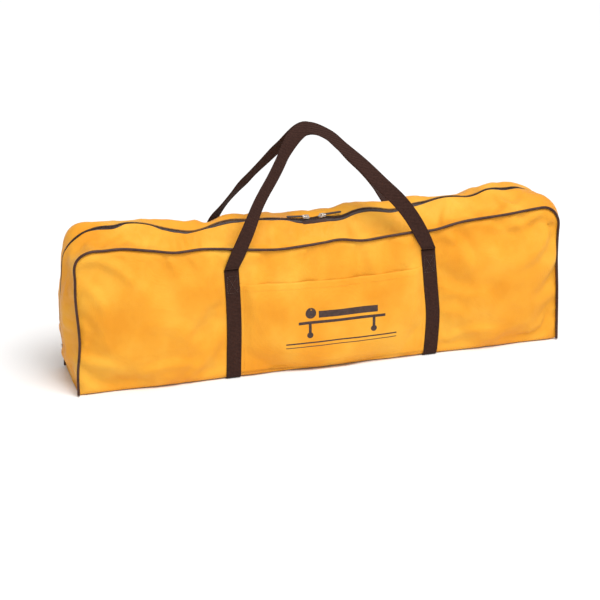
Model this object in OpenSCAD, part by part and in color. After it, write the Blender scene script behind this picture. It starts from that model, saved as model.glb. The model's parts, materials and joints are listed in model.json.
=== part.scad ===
// Zipped carry bag of a rescue stretcher, with the folded stretcher packed inside.
// Millimetres. +X runs along the bag, -Y is its front, +Z is up.
// The origin is the middle of the base, on the ground.

/* [Bag] */
// Length between the two end seams
bag_l = 860; // [800:10:900]
// Depth between the front and back faces
bag_d = 141; // [136:1:160]
// Height of the top seams at mid length, where the bag sags most
seam_mid_h = 226; // [222:1:236]
// Angle at which the top seams rise from mid length to each corner
sag_angle = 3.4; // [2:0.1:4]
// Radius of the top corners of the front and back panels
corner_r = 34; // [26:1:44]
// Thickness of the coated cloth with its foam lining
cloth_t = 3; // [2:0.5:3]
// How far the zip ridge stands above the top seams
crown = 22; // [14:1:26]
// How far each end bulges at mid height
end_bulge = 17; // [8:1:22]
// Radius of the piping in the front and back seams
piping_r = 2.6; // [2:0.1:2.8]

/* [Pocket] */
// Height of the pocket's open top edge
pocket_top = 171; // [150:1:180]
// Room between the pocket cloth and the front panel
pocket_gap = 7; // [5:0.5:9]
// Thickness of the single pocket cloth
pocket_t = 1.5; // [1:0.1:2]

/* [Webbing] */
// Width of the straps and handles
web_w = 25; // [20:1:28]
// Thickness of the straps and handles
web_t = 2.2; // [1.6:0.1:2.6]
// Half the distance between the two straps
strap_x = 177; // [160:1:185]
// How far the straps, handles and pocket stand off mid length, towards +X
strap_shift = 6; // [0:1:10]
// Height of the strap ends, where the handles fold out
fold_z = 198; // [190:1:200]
// Height of the handle loops above the ground
handle_h = 417; // [380:1:425]

/* [Zip] */
// Width of the finished zip, both tapes together
zip_w = 26; // [24:1:30]
// Half length of the part of the zip that opens across the top
mouth_half = 372; // [365:1:380]
// Height of the ends of the zip above the ground
zip_low = 62; // [50:1:90]
// Distance from mid length to the left slider
slider_left_x = 14; // [12:1:20]
// Distance from mid length to the right slider
slider_right_x = 14; // [12:1:20]
// Length of a slider
slider_l = 13; // [12:0.5:15]
// Length of a pull tab
pull_l = 26; // [20:1:30]

/* [Stretcher] */
// Length of the folded stretcher
pack_l = 812; // [760:1:820]
// Height of the folded stretcher, lying on its long edge
pack_h = 178; // [160:1:182]
// Thickness of the slatted back section
back_t = 14; // [12:1:16]
// Number of slats in the back section
slats = 6; // [4:1:7]
// Thickness of each folded side wing
wing_t = 18; // [12:1:19]
// Radius of a rolled body strap
roll_r = 20; // [14:1:21]

/* [Hidden] */

$fn = 48;
half_l = bag_l / 2;
half_d = bag_d / 2;
rise = tan(sag_angle);
inner_y = half_d - cloth_t;
corner_x = half_l - corner_r;
corner_z = seam_mid_h + rise * corner_x - corner_r / cos(sag_angle);
clear = 0.3;

// cloth colours
gold = "#f8b242";
brown = "#4a2c26";
dark = "#3a241c";

// zip section
ridge_z = seam_mid_h + crown;
tape_t = 1;
tooth_w = 2.3;
tooth_h = 3.6;
notch = 24;
post_w = 2.6;
plate_t = 1.5;
plate_gap = 0.4;
bail_z = tooth_h / 2 + plate_gap + plate_t;
link_z = bail_z + 1.7;
link_r = 0.75;
link_l = 7;
tab_t = 2;
tab_w = 6;

// webbing and handles
strap_y = half_d + web_t;
hinge_y = strap_y + clear + 1.5;
hinge_z = fold_z + 1.8;
bend_z = seam_mid_h + 30;
// at the top both loops lean back alike, the back one close behind the front one
apex_y = 3.7;
apex_lean = 0.6;
loop_top = handle_h - 7;
// the handle loop in front view, as shares of the half span and of the rise
loop_route = [
    [-1, 0], [-0.91, 0.15], [-0.815, 0.308], [-0.72, 0.458], [-0.645, 0.555], [-0.555, 0.654],
    [-0.476, 0.752], [-0.393, 0.852], [-0.26, 0.955], [-0.1, 1], [0.085, 0.94], [0.21, 0.845],
    [0.395, 0.697], [0.56, 0.545], [0.708, 0.416], [0.806, 0.304], [0.9, 0.17], [1, 0]
];

// packed stretcher
pack_z = 6;
slat_t = 8;
slat_pitch = pack_h / slats;
slat_w = slat_pitch - 7;
back_y = 30;
wing_l = 400;
wing_h = 160;
flap_l = 220;
roll_w = 50;
roll_z = 70;
wings_y = back_y - 2 * wing_t - 2;
roll_y = wings_y - roll_r - 1;
neck_r = 24;
strap_xs = [-340, -210, -80];
leg_xs = [40, 110];
buckle = [26, 8, 34];

function mix(a, b, k) = a + (b - a) * k;
function smooth(k) = let (c = min(1, max(0, k))) c * c * (3 - 2 * c);
function unit(v) = v / norm(v);

// height of the top seams at x, which sag from the corners to mid length
function seam_z(x) = seam_mid_h + rise * abs(x);

// a closed skin over a list of rings, each a closed loop of points
module skin(rings) {
    n = len(rings[0]);
    last = len(rings) - 1;
    points = [for (ring = rings) each ring];
    sides = [
        for (i = [0:last - 1], j = [0:n - 1])
            let (k = (j + 1) % n)
                each [
                    [i * n + j, i * n + k, (i + 1) * n + k],
                    [i * n + j, (i + 1) * n + k, (i + 1) * n + j]
                ]
    ];
    first_cap = [for (j = [n - 1:-1:0]) j];
    last_cap = [for (j = [0:n - 1]) last * n + j];
    polyhedron(points, concat([first_cap], sides, [last_cap]), convexity = 6);
}

// ---- panels ----

// outline of the front and back panels in XZ, grown outwards by d, from foot up
module face_outline(d, foot) {
    r = corner_r + d;
    steps = 12;
    left = [
        for (i = [0:steps])
            let (a = mix(180, 90 - sag_angle, i / steps)) [-corner_x + r * cos(a), corner_z + r * sin(a)]
    ];
    right = [for (i = [steps:-1:0]) [-left[i][0], left[i][1]]];
    middle = [0, seam_mid_h + d / cos(sag_angle)];
    polygon(concat([[-half_l - d, foot]], left, [middle], right, [[half_l + d, foot]]));
}

module face_panel() {
    color(gold) rotate([90, 0, 0]) translate([0, 0, inner_y]) linear_extrude(cloth_t)
        face_outline(1 - piping_r, web_t + 0.1);
}

module front_panel() { face_panel(); }
module back_panel() { mirror([0, 1, 0]) face_panel(); }

// floor of the bag, with a channel for each strap that runs under it
module base_panel() {
    floor_t = cloth_t + 1;
    color(gold) difference() {
        translate([-half_l, -inner_y, 0]) cube([bag_l, 2 * inner_y, floor_t]);
        for (side = [-1, 1]) translate([strap_shift + side * strap_x - web_w / 2 - 0.5, -half_d, -1])
            cube([web_w + 1, bag_d, web_t + 1]);
    }
}

// ---- gusset: one strip round the ends and the top, crowned outwards ----

// bulge of the gusset's middle line, along the end, round the corner and on to the top
function bulge_up(z) = z < corner_z / 2
    ? end_bulge * sin(180 * z / corner_z)
    : mix(9, end_bulge, sin(180 * z / corner_z));
function bulge_round(k) = mix(9, crown, k);

// stations of the left end seam: [x, z, outward x, outward z, bulge]
function end_stations(low) = concat(
    [for (i = [0:8]) let (z = mix(low, corner_z, i / 8)) [-half_l, z, -1, 0, bulge_up(z)]],
    [
        for (i = [1:8])
            let (a = mix(180, 90 - sag_angle, i / 8), ux = cos(a), uz = sin(a))
                [-corner_x + corner_r * ux, corner_z + corner_r * uz, ux, uz, bulge_round(i / 10)]
    ],
    [[-mouth_half - 0.3, seam_z(mouth_half + 0.3), 0, 1, crown]]
);

// stations of the left end below the zip, from the top down
function foot_stations(high) = [
    for (i = [0:12]) let (z = mix(high, cloth_t + 1, i / 12)) [-half_l, z, -1, 0, bulge_up(z)]
];

// point at depth y on the gusset over a station, pushed outwards by d
function gusset_point(s, y, d) = let (out = s[4] * (1 - pow(y / inner_y, 2)) + d)
    [s[0] + s[2] * out, y, s[1] + s[3] * out];

// a strip of gusset between depths y0 and y1, from d_in to d_out off the seam line
module gusset_strip(stations, y0, y1, d_in, d_out, n = 6) {
    skin([
        for (s = stations) concat(
            [for (j = [0:n]) gusset_point(s, mix(y0, y1, j / n), d_out)],
            [for (j = [n:-1:0]) gusset_point(s, mix(y0, y1, j / n), d_in)]
        )
    ]);
}

module gusset_end() {
    color(gold) gusset_strip(end_stations(zip_low), -inner_y, -zip_w / 2, -cloth_t, 0);
}

module gusset_left_front() { gusset_end(); }
module gusset_left_back() { mirror([0, 1, 0]) gusset_end(); }
module gusset_right_front() { mirror([1, 0, 0]) gusset_end(); }
module gusset_right_back() { mirror([1, 0, 0]) mirror([0, 1, 0]) gusset_end(); }

module end_panel_left() {
    color(gold) gusset_strip(foot_stations(zip_low - 0.2), -inner_y, inner_y, -cloth_t, 0);
}
module end_panel_right() { mirror([1, 0, 0]) end_panel_left(); }

// the top of the gusset beside the zip, which bunches up when the bag is opened
module gusset_top_front() {
    stations = [for (x = [-mouth_half, 0, mouth_half]) [x, seam_z(x), 0, 1, crown]];
    color(gold) gusset_strip(stations, -inner_y, -zip_w / 2 - clear, -cloth_t, 0);
}
module gusset_top_back() { mirror([0, 1, 0]) gusset_top_front(); }

// ---- piping along the seams of the front and back panels ----

module piping_half() {
    foot = piping_r + 0.3;
    d = 1;
    r = corner_r + d;
    run = corner_x / cos(sag_angle) + r * tan(sag_angle);
    translate([-half_l - d, 0, foot]) cylinder(h = corner_z - foot, r = piping_r);
    translate([-half_l - d, 0, foot]) sphere(piping_r);
    translate([-corner_x, 0, corner_z]) rotate([90, 0, 0]) rotate([0, 0, 90 - sag_angle])
        rotate_extrude(angle = 90 + sag_angle) translate([r, 0]) circle(piping_r, $fn = 24);
    translate([0, 0, seam_mid_h + d / cos(sag_angle)]) rotate([0, sag_angle - 90, 0])
        cylinder(h = run, r = piping_r);
}

module piping() {
    color(brown) {
        piping_half();
        mirror([1, 0, 0]) piping_half();
        translate([0, 0, seam_mid_h + 1 / cos(sag_angle)]) sphere(piping_r);
    }
}

module piping_front() { translate([0, -inner_y - piping_r - 0.1, 0]) piping(); }
module piping_back() { mirror([0, 1, 0]) piping_front(); }

// ---- pocket between the straps on the front face ----

module pocket_cloth() {
    half_w = strap_x - web_w / 2 - 0.5;
    low = web_t + 0.1;
    depth = pocket_gap + pocket_t;
    color(gold) translate([strap_shift, 0, 0]) difference() {
        translate([-half_w, -half_d - depth, low]) cube([2 * half_w, depth, pocket_top - low]);
        translate([-half_w + pocket_t, -half_d - pocket_gap, low + pocket_t])
            cube([2 * (half_w - pocket_t), pocket_gap + 1, pocket_top]);
    }
}

// ---- webbing ----

// one strap: up the front, under the base and up the back
module strap(side) {
    color(brown) translate([strap_shift + side * strap_x - web_w / 2, 0, 0]) rotate([90, 0, 90])
        linear_extrude(web_w)
        difference() {
            translate([-strap_y, 0]) square([2 * strap_y, fold_z - 0.3]);
            translate([-half_d, web_t]) square([bag_d, fold_z]);
        }
}

module strap_left() { strap(-1); }
module strap_right() { strap(1); }

// raised box-and-cross stitching that joins each handle end to its strap
module strap_stitching() {
    box_w = web_w - 7;
    box_h = 30;
    thread = 1;
    diagonal = norm([box_w - thread, box_h - thread]);
    y = strap_y + 0.25;
    for (face = [-1, 1], side = [-1, 1])
        color(brown) translate([strap_shift + side * strap_x, face * y, fold_z - 12 - box_h / 2])
            rotate([90, 0, 0]) linear_extrude(0.5, center = true) {
                difference() {
                    square([box_w, box_h], center = true);
                    square([box_w - 2 * thread, box_h - 2 * thread], center = true);
                }
                for (turn = [-1, 1]) rotate(turn * atan2(box_h, box_w))
                    square([diagonal, thread], center = true);
            }
}

// a point of the front (side -1) or back (side 1) loop's centreline
function loop_point(share, side) = let (
        z = mix(hinge_z, loop_top, share[1]),
        lean = max(0, z - bend_z) / (loop_top - bend_z)
    ) [strap_shift + share[0] * strap_x, side * mix(hinge_y, apex_y, lean), z];

// smooth curve through the points p, with n steps between each two
function curve(p, n) = [
    for (i = [0:len(p) - 2], j = [0:n - 1])
        let (
            a = p[max(0, i - 1)],
            b = p[i],
            c = p[i + 1],
            d = p[min(len(p) - 1, i + 2)],
            t = j / n,
            second = 2 * a - 5 * b + 4 * c - d,
            third = 3 * b - a - 3 * c + d
        ) 0.5 * (2 * b + (c - a) * t + second * t * t + third * t * t * t),
    p[len(p) - 1]
];

// the webbing's width runs level at the fold, then square to the loop, and the webbing
// turns from lying on the bag's face to leaning back at the top of the loop
function web_ring(path, i) = let (
        along = unit(path[min(i + 1, len(path) - 1)] - path[max(i - 1, 0)]),
        lean = apex_lean * smooth((path[i][2] - bend_z) / (loop_top - bend_z) * 1.25),
        tilted = unit(cross(along, unit([0, lean - 1, lean]))),
        square = smooth((path[i][2] - hinge_z) / 30),
        across = unit(mix([sign(along[2]), 0, 0], tilted, square)),
        out = unit(cross(across, along)) * web_t / 2,
        half = across * web_w / 2
    ) [path[i] - half - out, path[i] + half - out, path[i] + half + out, path[i] - half + out];

module handle(side) {
    path = curve([for (share = loop_route) loop_point(share, side)], 3);
    color(brown) {
        skin([for (i = [0:len(path) - 1]) web_ring(path, i)]);
        for (end = [-1, 1]) translate([strap_shift + end * strap_x - web_w / 2, side * hinge_y, hinge_z])
            rotate([0, 90, 0]) cylinder(h = web_w, r = 1.5);
    }
}
module handle_front() { handle(-1); }
module handle_back() { handle(1); }

// ---- zip ----

// a band that follows the ridge along the top, between depths y0 and y1
module ridge_band(x0, x1, y0, y1, z0, z1) {
    slope = x0 * x1 < 0 ? [x0, 0, x1] : [x0, x1];
    translate([0, y1, 0]) rotate([90, 0, 0]) linear_extrude(y1 - y0) polygon(concat(
        [for (x = slope) [x, ridge_z + rise * abs(x) + z0]],
        [for (i = [len(slope) - 1:-1:0]) [slope[i], ridge_z + rise * abs(slope[i]) + z1]]
    ));
}

module zip_tape_front() {
    color(dark)
        ridge_band(-mouth_half, mouth_half, -zip_w / 2, -tooth_w - clear, -tape_t / 2, tape_t / 2);
}
module zip_tape_back() { mirror([0, 1, 0]) zip_tape_front(); }

// a row of teeth, which stands back at mid length to let the sliders' wedges in
module zip_teeth_front() {
    color(dark) {
        for (side = [-1, 1]) ridge_band(
            min(side * notch, side * mouth_half), max(side * notch, side * mouth_half),
            -tooth_w - clear, -clear, -tooth_h / 2, tooth_h / 2
        );
        ridge_band(-notch, notch, -tooth_w - clear, -post_w / 2 - clear, -tooth_h / 2, tooth_h / 2);
    }
}
module zip_teeth_back() { mirror([0, 1, 0]) zip_teeth_front(); }

module zip_end_tape_left() {
    color(dark) gusset_strip(end_stations(zip_low), -zip_w / 2 + 0.05, zip_w / 2 - 0.05, -tape_t, 0, 4);
}
module zip_end_tape_right() { mirror([1, 0, 0]) zip_end_tape_left(); }

module zip_end_teeth_left() {
    color(dark) gusset_strip(end_stations(zip_low + 8), -tooth_w, tooth_w, 0.3, 1.6, 2);
}
module zip_end_teeth_right() { mirror([1, 0, 0]) zip_end_teeth_left(); }

module zip_stops() {
    out = bulge_up(zip_low + 5) + 1.5;
    color("silver") for (side = [-1, 1])
        translate([side * (half_l + out), 0, zip_low + 5]) cube([2.4, 7, 4], center = true);
}

// a slider about its middle: its wedge points to +X, its tail to -X
module slider_body() {
    wedge_x = slider_l / 2 - 2.4;
    for (side = [0, 1]) mirror([0, 0, side]) translate([0, 0, tooth_h / 2 + plate_gap])
        linear_extrude(plate_t) {
            translate([slider_l / 2 - 5, 0]) circle(5);
            translate([-slider_l / 2, -3.6]) square([slider_l - 5, 7.2]);
        }
    linear_extrude(tooth_h + 2 * plate_gap + plate_t, center = true) {
        translate([wedge_x, 0]) circle(post_w / 2);
        polygon([[wedge_x - 3.4, 0], [wedge_x, post_w / 2], [wedge_x, -post_w / 2]]);
    }
    translate([0, 1.2, bail_z]) rotate([90, 0, 0]) linear_extrude(2.4) difference() {
        translate([-4, -0.3]) square([8, 4.2]);
        translate([-2.6, 0.2]) square([5.2, 2.6]);
    }
}

// puts a slider piece on the ridge at x, nose towards mid length
module on_ridge(x) {
    side = x < 0 ? 0 : 1;
    mirror([side, 0, 0]) translate([-abs(x), 0, ridge_z + rise * abs(x)])
        rotate([0, sag_angle, 0]) children();
}

module slider_left() { color("silver") on_ridge(-slider_left_x) slider_body(); }
module slider_right() { color("silver") on_ridge(slider_right_x) slider_body(); }

// wire link: a cross pin through the slider's bail, two arms and a far pin for the tab
module pull_link() {
    arm_y = tab_w / 2 + 0.4;
    color("silver") translate([0, 0, link_z]) {
        for (x = [-link_l, 0]) translate([x, -arm_y, 0]) rotate([-90, 0, 0])
            cylinder(h = 2 * arm_y, r = link_r, $fn = 24);
        for (side = [-1, 1]) translate([-link_l, side * arm_y, 0]) rotate([0, 90, 0])
            cylinder(h = link_l, r = link_r, $fn = 24);
        for (x = [-link_l, 0], side = [-1, 1]) translate([x, side * arm_y, 0]) sphere(link_r, $fn = 24);
    }
}

// moulded tab on the link's far pin, with a hole in its outer end
module pull_tab() {
    half_w = tab_w / 2 - 0.5;
    color(dark) translate([-link_l, 0, link_z]) difference() {
        union() {
            translate([-pull_l, -half_w, -tab_t / 2]) cube([pull_l, 2 * half_w, tab_t]);
            translate([-pull_l, 0, 0]) cylinder(h = tab_t, r = tab_w / 2, center = true, $fn = 32);
            rotate([-90, 0, 0]) translate([0, 0, -half_w]) cylinder(h = 2 * half_w, r = 1.5, $fn = 24);
        }
        rotate([-90, 0, 0]) cylinder(h = tab_w, r = link_r + 0.05, center = true, $fn = 24);
        translate([-pull_l, 0, 0]) cylinder(h = 2 * tab_t, r = 1.4, center = true, $fn = 24);
    }
}

module pull_link_left() { on_ridge(-slider_left_x) pull_link(); }
module pull_link_right() { on_ridge(slider_right_x) pull_link(); }
module pull_tab_left() { on_ridge(-slider_left_x) pull_tab(); }
module pull_tab_right() { on_ridge(slider_right_x) pull_tab(); }

// ---- folded stretcher, lying on its long edge ----

module slat(i, grow) {
    translate([-pack_l / 2 + 5 - grow, back_y + (back_t - slat_t) / 2 - grow,
        pack_z + slat_pitch * (i + 0.5) - slat_w / 2 - grow])
        cube([pack_l - 10 + 2 * grow, slat_t + 2 * grow, slat_w + 2 * grow]);
}

module stretcher_back() {
    color("darkorange") difference() {
        translate([-pack_l / 2, back_y, pack_z]) cube([pack_l, back_t, pack_h]);
        for (i = [0:slats - 1]) slat(i, clear);
    }
}

module stretcher_slats() {
    color("burlywood") for (i = [0:slats - 1]) slat(i, 0);
}

module wing(y) {
    color("darkorange") translate([-pack_l / 2 + 10, y, pack_z]) cube([wing_l, wing_t, wing_h]);
}
module stretcher_wing_left() { wing(back_y - wing_t - 1); }
module stretcher_wing_right() { wing(wings_y); }

module stretcher_head_flaps() {
    color("darkorange") for (i = [1, 2])
        translate([pack_l / 2 - flap_l, back_y - i * (wing_t + 1), pack_z])
            cube([flap_l, wing_t, wing_h - 20]);
}

module stretcher_neck_roll() {
    color("darkorange") translate([pack_l / 2 - flap_l, wings_y - neck_r - 1, pack_z + 60])
        rotate([0, 90, 0]) cylinder(h = flap_l, r = neck_r);
}

// three webbing lifting loops sewn to the outside of the back section
module stretcher_lift_loops() {
    loop_l = 120;
    loop_h = 60;
    color("black") for (x = [-260, 0, 260])
        translate([x, back_y + back_t + web_t, pack_z + 80]) rotate([90, 0, 0]) linear_extrude(web_t)
            difference() {
                translate([-loop_l / 2, 0]) square([loop_l, loop_h]);
                translate([-loop_l / 2 + web_w, -1]) square([loop_l - 2 * web_w, loop_h - web_w + 1]);
            }
}

module strap_roll(x, tint) {
    color(tint) translate([x, roll_y, roll_z]) cylinder(h = roll_w, r = roll_r);
}
module chest_strap_upper() { strap_roll(strap_xs[0], "seagreen"); }
module chest_strap_middle() { strap_roll(strap_xs[1], "gold"); }
module chest_strap_lower() { strap_roll(strap_xs[2], "firebrick"); }
module leg_straps() { for (x = leg_xs) strap_roll(x, "#303030"); }

// a side-release buckle on the end of each rolled strap
module strap_buckles() {
    color("#202020") for (x = concat(strap_xs, leg_xs))
        translate([x - buckle[0] / 2, roll_y - buckle[1] / 2, roll_z + roll_w + 0.5]) difference() {
            cube(buckle);
            translate([4, -1, buckle[2] - 9]) cube([buckle[0] - 8, buckle[1] + 2, 5]);
        }
}

front_panel();
back_panel();
base_panel();
gusset_top_front();
gusset_top_back();
gusset_left_front();
gusset_left_back();
gusset_right_front();
gusset_right_back();
end_panel_left();
end_panel_right();
piping_front();
piping_back();
pocket_cloth();
strap_left();
strap_right();
strap_stitching();
handle_front();
handle_back();
zip_tape_front();
zip_tape_back();
zip_teeth_front();
zip_teeth_back();
zip_end_tape_left();
zip_end_tape_right();
zip_end_teeth_left();
zip_end_teeth_right();
zip_stops();
slider_left();
slider_right();
pull_link_left();
pull_link_right();
pull_tab_left();
pull_tab_right();
stretcher_back();
stretcher_slats();
stretcher_wing_left();
stretcher_wing_right();
stretcher_head_flaps();
stretcher_neck_roll();
stretcher_lift_loops();
chest_strap_upper();
chest_strap_middle();
chest_strap_lower();
leg_straps();
strap_buckles();
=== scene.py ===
"""Looks of the carry bag and the folded stretcher in it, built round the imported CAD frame.

Lengths are millimetres until a mesh is made. +X runs along the bag, -Y is its front, +Z is up.
"""
import json
import math

import bpy
import numpy as np
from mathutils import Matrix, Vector, noise
from mathutils.bvhtree import BVHTree

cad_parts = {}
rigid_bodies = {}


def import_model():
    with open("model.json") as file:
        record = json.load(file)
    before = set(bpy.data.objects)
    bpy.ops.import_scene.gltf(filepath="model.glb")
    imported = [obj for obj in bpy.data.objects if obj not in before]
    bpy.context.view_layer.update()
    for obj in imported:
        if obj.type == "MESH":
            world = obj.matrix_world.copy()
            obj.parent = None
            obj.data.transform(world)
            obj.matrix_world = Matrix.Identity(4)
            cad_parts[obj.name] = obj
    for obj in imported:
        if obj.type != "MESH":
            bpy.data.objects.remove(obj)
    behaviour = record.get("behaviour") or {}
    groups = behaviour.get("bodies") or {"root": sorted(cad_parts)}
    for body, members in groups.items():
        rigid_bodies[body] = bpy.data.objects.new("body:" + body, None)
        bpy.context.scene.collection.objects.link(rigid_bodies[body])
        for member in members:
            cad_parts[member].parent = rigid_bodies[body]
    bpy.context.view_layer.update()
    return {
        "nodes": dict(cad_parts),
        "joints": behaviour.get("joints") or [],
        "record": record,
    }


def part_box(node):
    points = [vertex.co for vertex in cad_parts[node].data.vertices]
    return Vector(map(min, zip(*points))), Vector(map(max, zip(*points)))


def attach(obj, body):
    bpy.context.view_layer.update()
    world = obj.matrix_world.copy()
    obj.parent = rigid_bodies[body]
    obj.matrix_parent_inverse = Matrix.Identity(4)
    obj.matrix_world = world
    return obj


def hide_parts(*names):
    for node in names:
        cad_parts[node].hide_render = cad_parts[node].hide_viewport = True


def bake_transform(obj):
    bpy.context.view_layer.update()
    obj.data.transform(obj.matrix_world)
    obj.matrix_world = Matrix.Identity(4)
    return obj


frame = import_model()
MM = 0.001

# ---- sizes read from the frame ----


def box_mm(node):
    low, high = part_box(node)
    return np.array(low) / MM, np.array(high) / MM


joints = {j["name"]: j for j in frame["joints"]}
HALF_L, SEAM_Y = box_mm("base_panel")[1][:2]
FACE_Y = -box_mm("front_panel")[0][1]
SEAM_Z = box_mm("gusset_top_front")[0][2] + FACE_Y - SEAM_Y
TAPE_LOW, TAPE_HIGH = box_mm("zip_tape_front")
MOUTH = TAPE_HIGH[0]
ZIP_EDGE = -TAPE_LOW[1]
RIDGE_Z = TAPE_LOW[2] + 0.5
ZIP_LOW = box_mm("zip_end_tape_left")[0][2]
slide_axis = joints["zip_slide_left"]["axis"]
LEAN = math.atan2(slide_axis[2], -slide_axis[0])
RISE = math.tan(LEAN)
HINGE_Y, HINGE_Z = (abs(v) / MM for v in joints["handle_front_swing"]["pos_m"][1:])
STRAPS = [float(sum(box_mm(n)[i][0] for i in (0, 1)) / 2) for n in ("strap_left", "strap_right")]
WEB_W = float(box_mm("strap_left")[1][0] - box_mm("strap_left")[0][0])
STRAP_Y = -box_mm("strap_left")[0][1]
FOLD_Z = box_mm("strap_left")[1][2]
HANDLE_TOP = box_mm("handle_front")[1][2]

CORNER_R = 34
CORNER_X = HALF_L - CORNER_R
CORNER_Z = SEAM_Z + RISE * CORNER_X - CORNER_R / math.cos(LEAN)
FOOT_Z = 1
CLOTH_T = 1.3

# ---- how the soft bag differs from the straight CAD shell ----
# each pair is (distance from mid length along the seam, how far the cloth stands off the straight seam)
# the seams, the zip's line, the crown and the handle routes come from points read off the photograph by
# eye, which a scratch script with the fitted camera turned into millimetres; report.md says how closely

FRONT_SEAM = [
    (-655, 3), (-630, 3), (-575, -2), (-490, 2), (-449, 2), (-428, 5), (-408, 3), (-394, 2), (-356, 4),
    (-306, -1), (-265, -6), (-217, -2), (-171, -4), (-125, -7), (-84, -8), (-33, -3), (24, 2), (63, -6),
    (110, -6), (157, -6), (192, -8), (240, -2), (334, -1), (387, 1), (405, 1), (425, -1), (449, -3),
    (497, -4), (569, 0), (655, 3)
]
BACK_SEAM = [
    (-655, -2), (-600, -6), (-540, -10), (-499, -12), (-462, -15), (-440, -15), (-422, -13), (-405, -10),
    (-385, -7), (-341, -4), (-250, -7), (-173, -6), (-128, -2), (-60, 4), (0, 8), (71, 8), (159, 1),
    (210, -4), (268, -7), (319, -4), (394, -8), (422, -11), (449, -11), (499, -10), (560, -6), (655, -2)
]
# how far the zip stands off the straight seam, and how it wanders to and fro across the bag
RIDGE = [
    (-655, 0), (-622, 9), (-600, 13), (-577, 15), (-532, 16), (-499, 14), (-462, 11), (-440, 9), (-425, 9),
    (-408, 11), (-393, 17), (-377, 21.6), (-364, 22), (-351, 22.5), (-338, 26), (-325, 27), (-294, 24),
    (-270, 18), (-245, 13), (-215, 10), (-196, 14), (-174, 21), (-152, 25), (-120, 25), (-80, 26),
    (-50, 24), (-26, 22), (14, 22), (26, 21), (36, 19), (49, 19), (72, 25), (98, 26), (118, 23), (140, 18),
    (157, 18), (180, 21), (204, 21), (237, 25), (260, 24), (281, 20), (297, 21), (321, 26), (340, 25),
    (352, 22.4), (364, 22), (377, 21.5), (393, 15), (406, 10), (418, 6), (440, 7), (462, 11), (499, 14),
    (540, 16), (577, 15), (622, 9), (655, 0)
]
ZIP_WANDER = [
    (-655, 0), (-560, 2), (-480, -3), (-420, 0), (-364, 0), (-340, 2), (-300, 0), (-235, -5), (-205, -4),
    (-160, 2), (-95, 0), (-30, 0), (30, 0), (60, -2), (100, 2), (140, -3), (205, 2), (285, -3), (330, 1),
    (364, 0), (420, 0), (480, -3), (560, 2), (655, 0)
]
# how high the cloth behind the zip would stand if it had no hollow along the zip
BACK_CROWN = [
    (-655, 0), (-622, 9), (-577, 15), (-540, 16), (-499, 14), (-462, 9), (-446, 6), (-429, 10), (-418, 19),
    (-408, 24), (-376, 23), (-296, 23), (-253, 24), (-209, 20), (-180, 18), (-155, 26), (-107, 28),
    (-46, 26), (2, 29), (44, 29), (71, 31), (105, 27), (141, 24), (187, 25), (235, 20), (279, 18),
    (309, 23), (343, 27), (380, 23), (402, 13), (420, 6), (440, 7), (499, 13), (540, 16), (577, 15),
    (622, 9), (655, 0)
]
# how far from the zip's middle the front cloth's edge stops; where it is nearest it rides up over the teeth
ZIP_BARE = [
    (-655, 1.4), (-560, 2), (-470, 1.9), (-390, 1.8), (-376, 4.8), (-363, 5.6), (-350, 4.8), (-335, 1.8),
    (-320, 1.2), (-290, 1.5), (-270, 3.2), (-232, 3.4), (-216, 1.5), (-196, 1.5), (-180, 3), (-140, 3),
    (-118, 1.4), (-96, 1.2), (-80, 2.2), (-62, 1.4), (-50, 1.5), (-36, 3), (-22, 4.4), (-9, 5.3), (0, 5),
    (9, 5.3), (22, 4.4), (36, 3.4), (50, 3), (70, 3.2), (135, 3.2), (160, 2.6), (185, 3), (205, 2),
    (225, 1.3), (262, 1.4), (285, 2), (335, 2.8), (350, 5), (363, 5.6), (376, 5), (390, 2.6), (430, 2.5),
    (500, 2), (655, 1.4)
]
# the same for the cloth behind the zip, which stands back where the sliders come to rest
BACK_BARE = [
    (-655, 3.2), (-392, 3.2), (-376, 5.2), (-364, 5.8), (-350, 5.2), (-334, 3.2), (-42, 3.2), (-24, 4.6),
    (-11, 5.6), (11, 5.6), (24, 4.6), (42, 3.2), (334, 3.2), (350, 5.2), (364, 5.8), (376, 5.2), (392, 3.2),
    (655, 3.2)
]
# how far the cloth's edge rides up over the teeth where it is nearest the zip's middle
EDGE_RISE = 2.7

# how far the front cloth stands out beyond its plain curve at mid width
FRONT_LIFT = [(-655, 0), (370, 0), (395, 4), (425, 8), (450, 5), (480, 0), (655, 0)]
# how far each strap stands off its straight line at each height
STRAP_BOWS = [(0, 5), (40, 6), (90, 7), (140, 6), (200, 3)], [(0, 8), (40, 11), (75, 12), (130, 7), (200, 0)]


def flowing(points, at):
    """A smooth line through (place, value) points, read at each place."""
    xs, ys = np.array(points, float).T
    slope = np.gradient(ys, xs)
    i = np.clip(np.searchsorted(xs, at) - 1, 0, len(xs) - 2)
    w = xs[i + 1] - xs[i]
    t = np.clip((at - xs[i]) / w, 0, 1)
    t2, t3 = t * t, t * t * t
    return (
        (2 * t3 - 3 * t2 + 1) * ys[i] + (t3 - 2 * t2 + t) * w * slope[i]
        + (3 * t2 - 2 * t3) * ys[i + 1] + (t3 - t2) * w * slope[i + 1]
    )


def smooth(a, b, v):
    """0 below a, 1 above b, and a smooth step between."""
    t = np.clip((v - a) / (b - a), 0, 1)
    return t * t * (3 - 2 * t)


def mix(a, b, t):
    return a + (b - a) * t


# ---- stations round the seam, from the left foot over the top to the right foot ----

SIDE_STEPS, CORNER_STEPS, HALF_TOP_STEPS = 30, 8, 52


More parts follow.
